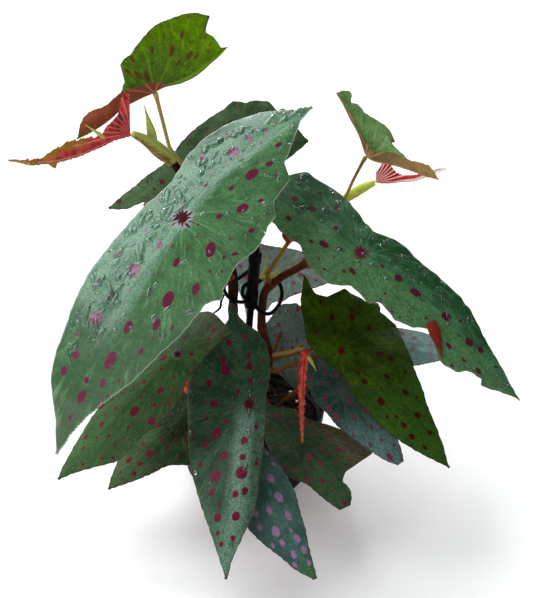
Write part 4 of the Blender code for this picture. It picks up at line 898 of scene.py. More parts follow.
def clouds(rng, points, size):
    """Soft lumps of about this size over the points, from about -1 to 1."""
    total = np.zeros(points.shape[:-1])
    for _ in range(CLOUD_WAVES):
        way = unit(rng.normal(size=3)) / (size * rng.uniform(0.7, 1.5))
        total = total + np.sin(2 * math.pi * (points @ way + rng.random()))
    return total / math.sqrt(CLOUD_WAVES)


def seeded(name, more=0):
    """Random draws that start the same for the same name."""
    return np.random.default_rng(sum(map(ord, name)) + more)


def placed(name, data):
    """A new object in the scene."""
    obj = bpy.data.objects.new(name, data)
    bpy.context.scene.collection.objects.link(obj)
    return obj


def camera_frame():
    """The eye in millimetres, and the camera's right, up and forward directions without its roll."""
    right = np.array([1.0, 0.0, 0.0])
    up = np.array([0.0, math.sin(PITCH), math.cos(PITCH)])
    ahead = np.array([0.0, math.cos(PITCH), -math.sin(PITCH)])
    x = ORIGIN_PIXEL[0] - IMAGE_WIDTH / 2
    y = IMAGE_HEIGHT / 2 - ORIGIN_PIXEL[1]
    across = x * math.cos(ROLL) - y * math.sin(ROLL)
    above = x * math.sin(ROLL) + y * math.cos(ROLL)
    eye = -(across * MM_PER_PIXEL * right + above * MM_PER_PIXEL * up + DISTANCE * ahead)
    return eye, right, up, ahead


def pixels_of(points):
    """Where points in millimetres stand in the photograph's frame."""
    eye, right, up, ahead = camera_frame()
    focal = DISTANCE / MM_PER_PIXEL
    seen = points - eye
    x = focal * (seen @ right) / (seen @ ahead)
    y = focal * (seen @ up) / (seen @ ahead)
    across = x * math.cos(ROLL) + y * math.sin(ROLL)
    above = y * math.cos(ROLL) - x * math.sin(ROLL)
    return np.stack([IMAGE_WIDTH / 2 + across, IMAGE_HEIGHT / 2 - above], axis=-1)


def build_camera():
    """The photograph's camera, fitted to the pot."""
    eye, right, up, ahead = camera_frame()
    camera = bpy.data.cameras.new("camera")
    camera.sensor_width = SENSOR
    camera.lens = SENSOR * DISTANCE / MM_PER_PIXEL / IMAGE_HEIGHT
    camera.clip_start = 0.01
    obj = placed("camera", camera)
    side = math.cos(ROLL) * right + math.sin(ROLL) * up
    top = math.cos(ROLL) * up - math.sin(ROLL) * right
    axes = Matrix((side, top, -ahead)).transposed()
    obj.matrix_world = Matrix.Translation(Vector(eye * MM)) @ axes.to_4x4()
    bpy.context.scene.camera = obj


class Nodes:
    """The node tree of a material or of the world, built one node at a time."""

    def __init__(self, owner, shader="Principled BSDF", **shader_values):
        self.owner = bpy.data.materials.new(owner) if isinstance(owner, str) else owner
        self.owner.use_nodes = True
        self.tree = self.owner.node_tree
        self.shader = self.tree.nodes[shader]
        for key, value in shader_values.items():
            self.set(self.shader, key.replace("_", " "), value)

    def set(self, node, socket, value):
        target = node.inputs[socket]
        if isinstance(value, bpy.types.NodeSocket):
            self.tree.links.new(value, target)
        elif isinstance(value, tuple) and len(value) == 3 and target.type == "RGBA":
            target.default_value = (*value, 1)
        else:
            target.default_value = value

    def add(self, kind, settings=None, **values):
        node = self.tree.nodes.new("ShaderNode" + kind)
        for key, value in (settings or {}).items():
            setattr(node, key, value)
        for key, value in values.items():
            self.set(node, key.replace("_", " "), value)
        return node

    def place(self):
        """Object coordinates in millimetres."""
        scale = self.add("VectorMath", {"operation": "SCALE"}, Scale=1 / MM)
        self.set(scale, 0, self.add("TexCoord").outputs["Object"])
        return scale.outputs[0]

    def number(self, name):
        return self.add("Attribute", {"attribute_name": name}).outputs["Fac"]

    def numbers(self, name):
        """The three numbers of a vector attribute."""
        split = self.add("SeparateXYZ")
        self.set(split, 0, self.add("Attribute", {"attribute_name": name}).outputs["Vector"])
        return split.outputs[0], split.outputs[1], split.outputs[2]

    def math(self, operation, first, second=0.0):
        node = self.add("Math", {"operation": operation})
        self.set(node, 0, first)
        self.set(node, 1, second)
        return node.outputs[0]

    def plus(self, first, second):
        return self.math("ADD", first, second)

    def minus(self, first, second):
        return self.math("SUBTRACT", first, second)

    def times(self, first, second):
        return self.math("MULTIPLY", first, second)

    def off_whole(self, value):
        """How far a value is from the nearest whole number."""
        return self.math("ABSOLUTE", self.minus(value, self.math("ROUND", value)))

    def step(self, value, low, high, start=0.0, end=1.0):
        """A smooth step from start to end as the value goes from low to high."""
        node = self.add("MapRange", {"interpolation_type": "SMOOTHSTEP"})
        for socket, number in enumerate((value, low, high, start, end)):
            self.set(node, socket, number)
        return node.outputs[0]

    def mix(self, share, first, second):
        node = self.add("Mix", {"data_type": "RGBA"})
        for socket, value in ((0, share), (6, first), (7, second)):
            self.set(node, socket, value)
        return node.outputs[2]

    def layers(self, colour, *rows):
        """Lays colours over one another, each up to its share as its value goes from low to high."""
        for layer, share, value, low, high in rows:
            colour = self.mix(self.step(value, low, high, 0.0, share), colour, layer)
        return colour

    def noise(self, vector, scale, detail=2.0, roughness=0.5):
        node = self.add("TexNoise", Vector=vector, Scale=scale, Detail=detail, Roughness=roughness)
        return node.outputs["Fac"]

    def cells(self, vector, scale):
        return self.add("TexVoronoi", Vector=vector, Scale=scale).outputs["Distance"]

    def plane(self, x, y):
        node = self.add("CombineXYZ")
        self.set(node, 0, x)
        self.set(node, 1, y)
        return node.outputs[0]

    def stretched(self, vector, x, y, z):
        node = self.add("VectorMath", {"operation": "MULTIPLY"})
        self.set(node, 0, vector)
        self.set(node, 1, (x, y, z))
        return node.outputs[0]

    def bump(self, height, distance, strength=1.0, below=None):
        node = self.add("Bump", Height=height, Distance=distance * MM, Strength=strength)
        if below is not None:
            self.set(node, "Normal", below)
        return node.outputs[0]

    def finish(self, colour=None, roughness=None, normal=None):
        for socket, value in (("Base Color", colour), ("Roughness", roughness), ("Normal", normal)):
            if value is not None:
                self.set(self.shader, socket, value)
        return self.owner


def vein_marks(n):
    """Masks of the main and side veins, with the leaf's fan of veins, reach from the heart and edge."""
    fan, reach, edge = n.numbers("leaf_fan")
    off = n.off_whole(fan)
    gap = n.times(off, n.times(reach, math.pi / VEINS))
    wide = n.step(reach, 0.0, 60.0, 0.85, 0.35)
    main = n.minus(1.0, n.step(n.math("DIVIDE", gap, wide), 0.2, 1.0))
    arcs = n.plus(n.times(reach, 0.16), n.times(off, 1.4))
    side = n.math("ABSOLUTE", n.minus(n.math("FRACT", arcs), 0.5))
    side = n.minus(1.0, n.step(side, 0.02, 0.09))
    side = n.times(side, n.step(reach, 6.0, 16.0))
    return main, side, fan, reach, edge


def leaf_skin(name, look, tints_and_painted_light):
    """The spotted upper side of a leaf."""
    n = Nodes(
        name,
        Specular_IOR_Level=look["specular"],
        Coat_Weight=look["coat"],
        Coat_Roughness=look["coat_rough"],
    )
    place = n.place()
    main, side, fan, reach, edge = vein_marks(n)
    dark = tuple(0.7 * part for part in look["dark"])
    grain = n.cells(place, 1.0)
    along_vein = n.math("LOGARITHM", n.plus(reach, 4.0), math.e)
    fibres = n.plane(n.times(fan, 5.0), n.times(along_vein, 1.5))
    streak = n.noise(fibres, 1.6, 4.0, 0.65)
    patch = n.noise(place, 0.42, 3.0, 0.6)
    colour = n.mix(n.step(n.noise(place, 0.09, 3.0, 0.6), 0.34, 0.66), look["dark"], look["light"])
    # Tint colours: the leaf's own, and painted sheen and painted shade where the table of leaves sets
    # them.
    for number, (tint, _, _, _) in enumerate(tints_and_painted_light):
        share = n.times(n.numbers("leaf_tint")[number], n.step(patch, 0.3, 0.65, 0.65, 1.1))
        colour = n.mix(share, colour, tint)
    # Pale streaks follow the veins, and dark streaks, patches and cell grain mottle the skin; the pale
    # cell centres are painted highlights.
    colour = n.layers(
        colour,
        (look["vein"], look["streaks"], streak, 0.52, 0.66),
        (dark, 0.55, streak, 0.48, 0.34),
        (dark, 0.42, patch, 0.46, 0.74),
        (dark, 0.42, grain, 0.30, 0.62),
        (look["vein"], 0.22, grain, 0.24, 0.05),
    )
    near = n.step(reach, 8.0, 24.0, look["near_share"], look["vein_share"])
    colour = n.mix(n.times(main, near), colour, look["vein"])
    colour = n.mix(n.times(side, 0.4 * look["vein_share"]), colour, look["vein"])
    wobble = n.times(n.minus(n.noise(place, 0.9, 2.0), 0.5), 1.1)
    spot = n.step(n.plus(n.number("leaf_spot"), wobble), -0.34, 0.40)
    inner = n.mix(n.step(n.noise(place, 1.4, 2.0), 0.35, 0.7), look["spot"], look["spot_dark"])
    # Under a painted sheen the spots take a pale painted reflection, in patches.
    if "veil" in look:
        wet = n.step(n.noise(place, 0.5, 3.0), 0.35, 0.65, 0.25, 0.85)
        inner = n.mix(n.times(n.numbers("leaf_tint")[0], wet), inner, look["veil"])
    colour = n.mix(n.times(spot, look["spot_share"]), colour, inner)
    if look["star"]:
        core, short, long = look["star_reach"]
        turned = n.plus(fan, n.times(n.noise(place, 0.2, 1.0), 0.6))
        turned = n.times(turned, 1.3)
        ray = n.off_whole(turned)
        length = n.step(n.noise(place, 0.3, 1.0), 0.35, 0.65, short, long)
        star = n.minus(n.step(ray, 0.42, 0.0, core, length), reach)
        star = n.step(n.plus(star, n.times(wobble, 0.8)), -0.5, 0.5, 0.0, look["star"])
        # A ring round the heart, painted shade where a look makes it dark.
        halo = n.step(n.minus(long, reach), 0.0, 2.5, 0.0, look["halo_share"] * look["star"])
        colour = n.mix(halo, colour, look["halo"])
        colour = n.mix(star, colour, look["heart"])
        if look["coat"]:
            n.set(n.shader, "Coat Weight", n.times(n.minus(1.0, star), look["coat"]))
    colour = n.layers(colour, (look["rim"], 0.7, edge, 0.75, 0.25))
    roughness = n.step(n.noise(place, 0.35, 3.0), 0.3, 0.7, look["rough"] - 0.06, look["rough"] + 0.08)
    low = n.minus(1.0, n.plus(main, n.times(side, 0.45)))
    relief = n.bump(low, 0.12, 0.5)
    relief = n.bump(grain, 0.10, 0.6, relief)
    relief = n.bump(patch, 0.3, 0.35, relief)
    if look["coat"]:
        n.set(n.shader, "Coat Normal", n.bump(grain, 0.04, 0.6, n.bump(streak, 0.22, 0.5)))
    return n.finish(colour, roughness, relief)


def leaf_under(name, look):
    """The underside, maroon with raised veins."""
    n = Nodes(name, Specular_IOR_Level=0.2)
    place = n.place()
    main, side, _, reach, _ = vein_marks(n)
    dark = tuple(0.45 * part for part in look["under"])
    vein = tuple(1.5 * part + 0.03 for part in look["under_light"])
    colour = n.mix(n.step(n.noise(place, 0.12, 3.0), 0.35, 0.65), look["under"], look["under_light"])
    colour = n.layers(
        colour, (dark, 0.4, n.noise(place, 1.1, 3.0), 0.4, 0.75), (dark, 0.7, reach, 26.0, 8.0),
    )
    colour = n.mix(n.times(main, 0.5), colour, vein)
    colour = n.mix(n.times(side, 0.2), colour, vein)
    colour = n.layers(colour, (dark, 0.35, n.number("leaf_spot"), -0.2, 0.4))
    relief = n.bump(n.plus(main, n.times(side, 0.4)), 0.3, 0.7)
    relief = n.bump(n.cells(place, 1.0), 0.08, 0.6, relief)
    return n.finish(colour, n.step(n.noise(place, 0.4), 0.3, 0.7, 0.45, 0.6), relief)


def stalk_skin(name, foot, top, streak):
    """A stem's skin, its colour running from foot to top, with fine lengthwise streaks."""
    n = Nodes(name, Specular_IOR_Level=0.05)
    place = n.place()
    share, scar, _ = n.numbers("stem")
    height = n.plus(share, n.times(n.noise(place, 0.15), 0.4))
    colour = n.mix(n.step(height, 0.2, 1.1), foot, top)
    grain = n.noise(n.stretched(place, 1.0, 1.0, 0.12), 2.2, 3.0, 0.65)
    colour = n.layers(
        colour,
        (streak, 0.55, grain, 0.42, 0.72),
        (streak, 0.5, scar, 0.1, 0.9),
        (top, 0.5, n.cells(place, 0.9), 0.16, 0.05),
    )
    relief = n.bump(grain, 0.12, 0.6)
    return n.finish(colour, n.step(grain, 0.3, 0.7, 0.45, 0.6), relief)


def water_skin(name, shine, index):
    """Clear water with a surface of its own: how much light it sends back, and its refractive index."""
    n = Nodes(
        name,
        Transmission_Weight=1.0,
        IOR=WATER_INDEX,
        Specular_IOR_Level=1.0,
        Roughness=0.0,
        Coat_Weight=shine,
        Coat_IOR=index,
    )
    ripples = n.bump(n.noise(n.place(), 0.8), 0.02, 0.2)
    # Its green tint is painted shade on the leaf seen through it.
    return n.finish(WATER_COLOUR, None, ripples)


def plastic_skin(name, colour, worn, rough):
    """Black moulded plastic with fine scratches and dusty patches."""
    n = Nodes(name, Specular_IOR_Level=0.06)
    place = n.place()
    dust = n.noise(place, 0.08, 4.0, 0.65)
    lines = n.noise(n.stretched(place, 1.0, 1.0, 0.08), 3.0, 3.0, 0.7)
    mixed = n.layers(colour, (worn, 0.5, dust, 0.45, 0.8), (worn, 0.35, lines, 0.62, 0.78))
    relief = n.bump(n.noise(place, 2.5, 3.0), 0.04, 0.6)
    return n.finish(mixed, n.step(dust, 0.3, 0.8, rough, rough + 0.2), relief)


def soil_skin():
    """Dark wet soil with dusty patches."""
    n = Nodes("soil", Specular_IOR_Level=0.05)
    place = n.place()
    wet, dry, dusty = SOIL
    crumbs = n.cells(place, 0.55)
    grains = n.noise(place, 1.2, 4.0, 0.7)
    colour = n.mix(n.step(grains, 0.35, 0.7), wet, dry)
    colour = n.layers(colour, (dusty, 0.5, n.noise(place, 0.2), 0.5, 0.8))
    relief = n.bump(crumbs, 0.9, 0.8)
    relief = n.bump(grains, 0.5, 0.8, relief)
    return n.finish(colour, n.step(grains, 0.3, 0.7, 0.75, 0.95), relief)


def crumb_skin(name, dark, light, scale):
    """Bark or stone crumbs, each tinted a little differently."""
    n = Nodes(name, Specular_IOR_Level=0.06)
    place = n.place()
    tone = n.noise(place, scale, 3.0, 0.6)
    colour = n.mix(n.step(n.number("tone"), 0.0, 1.0), dark, light)
    colour = n.layers(colour, (dark, 0.6, tone, 0.4, 0.75))
    relief = n.bump(n.noise(n.stretched(place, 1.0, 0.3, 1.0), scale * 3, 3.0), 0.3, 0.8)
    return n.finish(colour, n.step(tone, 0.3, 0.7, 0.7, 0.9), relief)


def pleat_skin(name, look):
    """A young leaf: red folds with pale veins along them."""
    n = Nodes(name, Specular_IOR_Level=0.1, Coat_Weight=0.08, Coat_Roughness=0.2)
    place = n.place()
    fan, reach, edge = n.numbers("leaf_fan")
    ridge = n.step(n.off_whole(fan), look["vein_width"], look["vein_width"] * 0.3)
    colour = n.mix(n.step(n.noise(place, 0.35, 3.0), 0.35, 0.65), look["dark"], look["light"])
    colour = n.layers(colour, (look["deep"], 0.5, n.noise(place, 1.3, 2.0), 0.5, 0.7))
    colour = n.mix(n.times(ridge, look["vein_share"]), colour, look["vein"])
    frill = n.step(edge, *look.get("frill_edge", (2.4, 0.6)))
    frill = n.times(frill, n.step(reach, *look["frill_from"]))
    frill = n.times(frill, n.step(n.noise(place, 0.5, 2.0), 0.3, 0.5))
    colour = n.mix(frill, colour, look["frill"])
    relief = n.bump(ridge, 0.25, 0.6)
    relief = n.bump(n.noise(place, 1.5, 2.0), 0.1, 0.5, relief)
    return n.finish(colour, n.step(n.noise(place, 0.8), 0.3, 0.7, 0.3, 0.5), relief)


def green_skin(name, top, under, streak):
    """A shoot's skin: green above and browner below by which way it faces, partly its own colours and
    partly painted light; ribbed lengthwise.
    """
    n = Nodes(name, Specular_IOR_Level=0.12, Coat_Weight=0.05, Coat_Roughness=0.3)
    place = n.place()
    ribs = n.noise(n.stretched(place, 0.5, 1.6, 1.6), 0.9, 3.0, 0.6)
    facing = n.add("SeparateXYZ")
    n.set(facing, 0, n.add("NewGeometry").outputs["Normal"])
    lit = n.step(n.plus(facing.outputs[2], n.times(ribs, 0.5)), -0.2, 0.5)
    colour = n.mix(lit, under, top)
    colour = n.layers(colour, (streak, 0.5, ribs, 0.45, 0.7))
    relief = n.bump(ribs, 0.15, 0.6)
    return n.finish(colour, n.step(ribs, 0.3, 0.7, 0.38, 0.55), relief)


class Shape:
    """Points, faces, material numbers and marks of one piece, gathered from its parts."""

    def __init__(self):
        self.points = []
        self.faces = []
        self.kinds = []
        self.marks = {}
        self.count = 0

    def add(self, points, faces, kind=0, **marks):
        points = np.asarray(points, float).reshape(-1, 3)
        self.points.append(points)
        self.faces += [tuple(int(corner) + self.count for corner in face) for face in faces]
        kinds = kind if np.ndim(kind) else [kind] * len(faces)
        self.kinds += [int(k) for k in kinds]
        for name, values in marks.items():
            self.marks.setdefault(name, []).append((self.count, np.asarray(values, float)))
        self.count += len(points)

    def build(self, name, skins):
        """The mesh object, in metres, with its materials, resting on the plant's one body."""
        mesh = bpy.data.meshes.new(name)
        mesh.from_pydata((np.concatenate(self.points) * MM).tolist(), [], self.faces)
        mesh.polygons.foreach_set("material_index", self.kinds)
        mesh.shade_smooth()
        for mark, parts in self.marks.items():
            width = parts[0][1].ndim
            values = np.zeros((self.count, 3)) if width == 2 else np.zeros(self.count)
            for start, rows in parts:
                values[start:start + len(rows)] = rows
            kind, field = ("FLOAT_VECTOR", "vector") if width == 2 else ("FLOAT", "value")
            attribute = mesh.attributes.new(mark, kind, "POINT")
            attribute.data.foreach_set(field, values.ravel().astype(np.float32))
        for skin in skins:
            mesh.materials.append(skin)
        obj = placed(name, mesh)
        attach(obj, BODY)
        return obj


def take_over(obj, node):
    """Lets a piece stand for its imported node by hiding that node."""
    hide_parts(node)


def sheet_faces(rows, columns):
    """Upper side, underside and rim of a closed sheet, whose upper points come before its lower ones."""
    index = np.arange(rows * columns).reshape(rows, columns)
    low = rows * columns
    a, b = index[:-1, :-1].ravel(), index[:-1, 1:].ravel()
    c, d = index[1:, 1:].ravel(), index[1:, :-1].ravel()
    border = np.concatenate([index[0, :], index[1:, -1], index[-1, -2::-1], index[-2:0:-1, 0]])
    following = np.roll(border, -1)
    return (
        np.stack([a, b, c, d], axis=1),
        np.stack([d, c, b, a], axis=1) + low,
        np.stack([following, border, border + low, following + low], axis=1),
    )


def tube_faces(rings, sides):
    """The corners of a tube by ring and side, and its faces, which look outwards."""
    index = np.arange(rings * sides).reshape(rings, sides)
    beside = np.roll(index, -1, axis=1)
    quads = np.stack([index[:-1], beside[:-1], beside[1:], index[1:]], axis=-1)
    return index, beside, quads.reshape(-1, 4)


def frames(leaf, at):
    """Points of the midrib, with the directions ahead, to the left and up out of the blade."""
    at = np.asarray(at, float)
    middle = along(leaf["midrib"], at)
    ahead = along(leaf["midrib"], np.minimum(at + 1e-3, 1))
    behind = along(leaf["midrib"], np.maximum(at - 1e-3, 0))
    forward = unit(ahead - behind)
    left = unit(np.cross(forward, leaf["faces"]))
    return middle, forward, left, np.cross(left, forward)


def half_width(leaf, side, at):
    """The width of one half of the blade at these shares of the midrib."""
    width = smooth(STATIONS, leaf[side], at)
    for tooth_side, where, out, reach in leaf.get("teeth", []):
        if tooth_side == side:
            width = width + out * np.clip(1 - np.abs(at - where) / reach, 0, 1)
    width = width + ripple(np.random.default_rng(len(side)), MARGIN_JAG, at)
    if side in leaf.get("trim", {}):
        width = width + np.interp(at, *np.array(leaf["trim"][side]).T)
    for saw_side, start, end, count, depth in leaf.get("saw", []):
        if saw_side == side:
            zone = eased(at, start - 0.02, start + 0.02) * (1 - eased(at, end - 0.02, end + 0.02))
            width = width - depth * zone * ((at * count) % 1.0)
    return np.maximum(width, LEAST_WIDTH)


def blade_side(leaf, at, share, sign):
    """Points of one half of the blade, with the width there: share runs from 0 at the midrib to 1."""
    middle, forward, left, up = frames(leaf, at)
    fold_rows = np.array(leaf.get("fold", [(0, 0, 0)]), float).T
    fold = np.radians(np.interp(at, fold_rows[0], fold_rows[1 if sign > 0 else 2]))[:, None]
    curl = math.radians(leaf.get("curl", (0, 0))[0 if sign > 0 else 1]) / CURL_WIDTH
    width = half_width(leaf, "left" if sign > 0 else "right", at)[:, None] * share[None, :]
    if abs(curl) < 1e-9:
        out = width * np.cos(fold)
        rise = width * np.sin(fold)
    else:
        out = (np.sin(fold + curl * width) - np.sin(fold)) / curl
        rise = (np.cos(fold) - np.cos(fold + curl * width)) / curl
    height, count = leaf.get("wave", (0, 0))
    rise = rise + height * share**2 * np.sin(2 * math.pi * count * at[:, None] + sign)
    ahead = -math.tan(math.radians(leaf.get("lean", 0))) * width
    if "end" in leaf and sign > 0:
        end = np.interp(share, *np.array(leaf["end"]).T)
        ahead = ahead + end[None, :] * np.clip(1 - at / 0.12, 0, 1)[:, None]
    points = middle[:, None] + sign * out[..., None] * left[:, None] + rise[..., None] * up[:, None]
    return points + ahead[..., None] * forward[:, None], width


class Sheet:
    """A blade's fine grid: rows along the midrib, columns from the left margin to the right."""

    def __init__(self, name, leaf, rows, columns):
        self.leaf = leaf
        rng = seeded(name)
        at = np.linspace(0, 1, rows)
        share = np.linspace(0, 1, columns + 1)
        left, left_width = blade_side(leaf, at, share, 1)
        right, right_width = blade_side(leaf, at, share, -1)
        self.points = np.concatenate([left[:, :0:-1], right], axis=1)
        self.across = np.concatenate([left_width[:, :0:-1], -right_width], axis=1)
        for place, move, reach in leaf.get("pulls", []):
            away = np.linalg.norm(self.points - np.array(place, float), axis=-1)
            self.points = self.points + np.exp(-((away / reach) ** 2))[..., None] * np.array(move, float)
        run = at * line_length(leaf["midrib"])
        heart = lengths(leaf["midrib"])[leaf.get("heart", HEART_AT)] if "stalk" in leaf else 0.0
        self.ahead = np.repeat((run - heart * run[-1])[:, None], self.across.shape[1], axis=1)
        edge = [left_width[:, -1:] - left_width[:, :0:-1], right_width[:, -1:] - right_width]
        self.edge = np.concatenate(edge, axis=1)
        self.edge = np.minimum(self.edge, np.minimum(run, run[-1] - run)[:, None] + 0.2)
        self.reach = np.hypot(self.ahead, self.across)
        self.normals = self.faced(at)
        self.fan = self.fan_of(self.ahead, self.across)
        self.relief(rng)

    def faced(self, at):
        """The unit normals on the upper side."""
        down = np.gradient(self.points, axis=0)
        over = np.gradient(self.points, axis=1)
        normals = unit(np.cross(over, down) + 1e-12)
        _, _, _, up = frames(self.leaf, at)
        middle = self.points.shape[1] // 2
        if (normals[:, middle] * up).sum() < 0:
            normals = -normals
        return normals

    def fan_of(self, ahead, across):
        """Which vein a point is on: 0 towards the long tip, VEINS towards the short one."""
        veins = self.leaf.get("veins", VEINS)
        angle = np.arctan2(np.abs(across), ahead)
        bend = 0.45 * np.clip(np.hypot(ahead, across) / 70, 0, 1)
        return veins * (angle + bend * np.sin(angle)) / math.pi

    def relief(self, rng):
        """Presses the veins in, quilts the skin between them and ruffles the margin."""
        off = np.abs(self.fan - np.round(self.fan))
        veins = self.leaf.get("veins", VEINS)
        gap = off * self.reach * math.pi / veins
        quilt = QUILT * (1 - np.exp(-((gap / QUILT_WIDTH) ** 2))) * eased(self.reach, 2, 12)
        lumps = LUMPS * clouds(rng, self.points, LUMP_SIZE) * eased(self.edge, 0, 6)
        ruffle = self.leaf.get("ruffle", RUFFLE) * clouds(rng, self.points, RUFFLE_SIZE)
        ruffle = ruffle * (1 - eased(self.edge, 0, 7))
        pleat = self.leaf.get("pleat", 0.0) * np.cos(2 * math.pi * self.fan) * eased(self.reach, 0, 8)
        pleat = pleat * eased(self.edge, -1, 2)
        move = quilt - QUILT * 0.6 + lumps + ruffle + pleat
        self.points = self.points + self.normals * move[..., None]

    def listed_spots(self, name):
        """The spots seen in the photograph: place on the blade, radius and how long they are."""
        seen = pixels_of(self.points)
        ovals = self.leaf.get("ovals", SPOT_OVAL)
        spots = []
        for x, y, size in SPOTS.get(name, []):
            gap = np.hypot(seen[..., 0] - x, seen[..., 1] - y)
            nearest = np.unravel_index(np.argmin(gap), gap.shape)
            place = (self.ahead[nearest], self.across[nearest])
            spots.append((*place, size * MM_PER_PIXEL * SPOT_SCALE, ovals[int(place[1] < 0)]))
        return spots

    def strew_spots(self, spots, rng):
        """Adds random spots that keep clear of the heart and of each other."""
        spacing, small, large = self.leaf.get("dots", DOTS)
        listed = bool(spots)
        low, high = self.ahead.min(), self.ahead.max()
        wide = np.abs(self.across).max()
        wanted = int((high - low) * 2 * wide / spacing**2 / (SPARSER if listed else 1))
        for _ in range(wanted * 3):
            spot = (rng.uniform(low, high), rng.uniform(-wide, wide))
            size = small + (large - small) * rng.random() ** 2.2
            if listed:
                size = min(size, STREWN_LARGEST)
            if math.hypot(*spot) < HEART_CLEAR:
                continue
            near = (
                math.hypot(spot[0] - ahead, spot[1] - across) < spacing * 0.55 + size + radius
                for ahead, across, radius, _ in spots
            )
            if not any(near):
                spots.append((*spot, size, rng.uniform(1.0, 1.7)))

    def spot_field(self, name, rng):
        """How far inside a spot each point is, in millimetres: positive inside."""
        field = np.full(self.across.shape, -9.0)
        spots = self.listed_spots(name)
        self.strew_spots(spots, rng)
        for ahead, across, size, long in spots:
            turn = math.atan2(across, abs(ahead) + 20) * 0.5 * (1 if ahead > 0 else -1)
            if self.leaf.get("rayed"):
                turn = math.atan2(across, ahead)
            du = (self.ahead - ahead) * math.cos(turn) + (self.across - across) * math.sin(turn)
            dv = (self.across - across) * math.cos(turn) - (self.ahead - ahead) * math.sin(turn)
            away = np.hypot(du / math.sqrt(long), dv * math.sqrt(long))
            field = np.maximum(field, size - away)
        return np.minimum(field, self.edge - SPOT_MARGIN)

    def tints_and_painted_light(self):
        """How much of each of the leaf's three tint colours a point takes: its own colours, painted sheen
        and painted shade.
        """
        field = np.zeros(self.across.shape + (3,))
        for i, (_, share, ahead, across) in enumerate(self.leaf.get("tints_and_painted_light", [])):
            here = share * eased(self.ahead, *ahead)
            field[..., i] = here * eased(self.across, *across) if across else here
        return field

    def close(self, shape, thick, thin, **marks):
        """Adds the blade as one closed skin: upper side, underside and rim."""
        rows, columns = self.across.shape
        half = thin + (thick - thin) * eased(self.edge, 0, 4)
        upper = self.points + self.normals * half[..., None]
        lower = self.points - self.normals * half[..., None]
        top, under, rim = sheet_faces(rows, columns)
        middle = (rows // 2, columns // 2)
        over = np.gradient(self.points, axis=1)[middle]
        down = np.gradient(self.points, axis=0)[middle]
        faces = np.concatenate([top, under, rim])
        if np.dot(np.cross(over, down), self.normals[middle]) < 0:
            faces = faces[:, ::-1]
        kinds = [0] * len(top) + [1] * len(under) + [0] * len(rim)
        fan = np.stack([self.fan, self.reach, self.edge], axis=-1).reshape(-1, 3)
        doubled = {
            key: np.concatenate([value.reshape(rows * columns, *value.shape[2:])] * 2)
            for key, value in marks.items()
        }
        both = np.concatenate([upper.reshape(-1, 3), lower.reshape(-1, 3)])
        shape.add(both, faces, kinds, leaf_fan=np.concatenate([fan, fan]), **doubled)


def carried(line):
    """Two directions across a line at each point, turned as little as can be from one to the next."""
    tangents = unit(np.gradient(line, axis=0))
    start = np.cross(tangents[0], (0.0, 0.0, 1.0))
    if np.linalg.norm(start) < 0.2:
        start = np.cross(tangents[0], (0.0, 1.0, 0.0))
    normals = [unit(start)]
    for tangent in tangents[1:]:
        before = normals[-1]
        normals.append(unit(before - tangent * np.dot(before, tangent)))
    normals = np.array(normals)
    return normals, np.cross(tangents, normals)


def rounded(points, wanted, soft):
    """A line through the points with its corners eased, at these shares of its length."""
    fine = np.linspace(0, 1, 240)
    at = lengths(points)
    rows = np.asarray(points, float)
    line = np.stack([np.interp(fine, at, rows[:, i]) for i in range(3)], axis=1)
    reach = int(soft * len(fine))
    before = 2 * line[0] - line[reach:0:-1]
    after = 2 * line[-1] - line[-2:-reach - 2:-1]
    padded = np.concatenate([before, line, after])
    kernel = np.hanning(2 * reach + 1)
    kernel = kernel / kernel.sum()
    line = np.stack([np.convolve(padded[:, i], kernel, "valid") for i in range(3)], axis=1)
    return np.stack([np.interp(wanted, lengths(line), line[:, i]) for i in range(3)], axis=1)


def swept(shape, line, radius, sides, rings, kind=0, scar=None, soft=None):
    """Adds a round stem. Its radius is a list, or a function of the share along it and the turn."""
    line = np.asarray(line, float)
    where = np.linspace(0, 1, rings)
    if soft is not None:
        centre = rounded(line, where, soft)
    elif len(line) > 2:
        centre = along(line, where)
    else:
        centre = line[0] + where[:, None] * (line[1] - line[0])
    one, two = carried(centre)
    turn = 2 * math.pi * np.arange(sides) / sides
    if callable(radius):
        size = radius(where[:, None], turn[None, :])
    else:
        size = np.interp(where, np.linspace(0, 1, len(radius)), radius)[:, None] * np.ones(sides)
    spokes = np.cos(turn)[None, :, None] * one[:, None] + np.sin(turn)[None, :, None] * two[:, None]
    points = centre[:, None] + size[..., None] * spokes
    ends = np.array([centre[0], centre[-1]])
    index, beside, quads = tube_faces(rings, sides)
    foot = [(rings * sides, beside[0, j], index[0, j]) for j in range(sides)]
    top = [(rings * sides + 1, index[-1, j], beside[-1, j]) for j in range(sides)]
    share = np.concatenate([np.repeat(where, sides), [0, 1]])
    marks = np.zeros((len(share), 3))
    marks[:, 0] = share
    if scar is not None:
        marks[:, 1] = scar(share)
    shape.add(np.concatenate([points.reshape(-1, 3), ends]), [*quads, *foot, *top], kind, stem=marks)


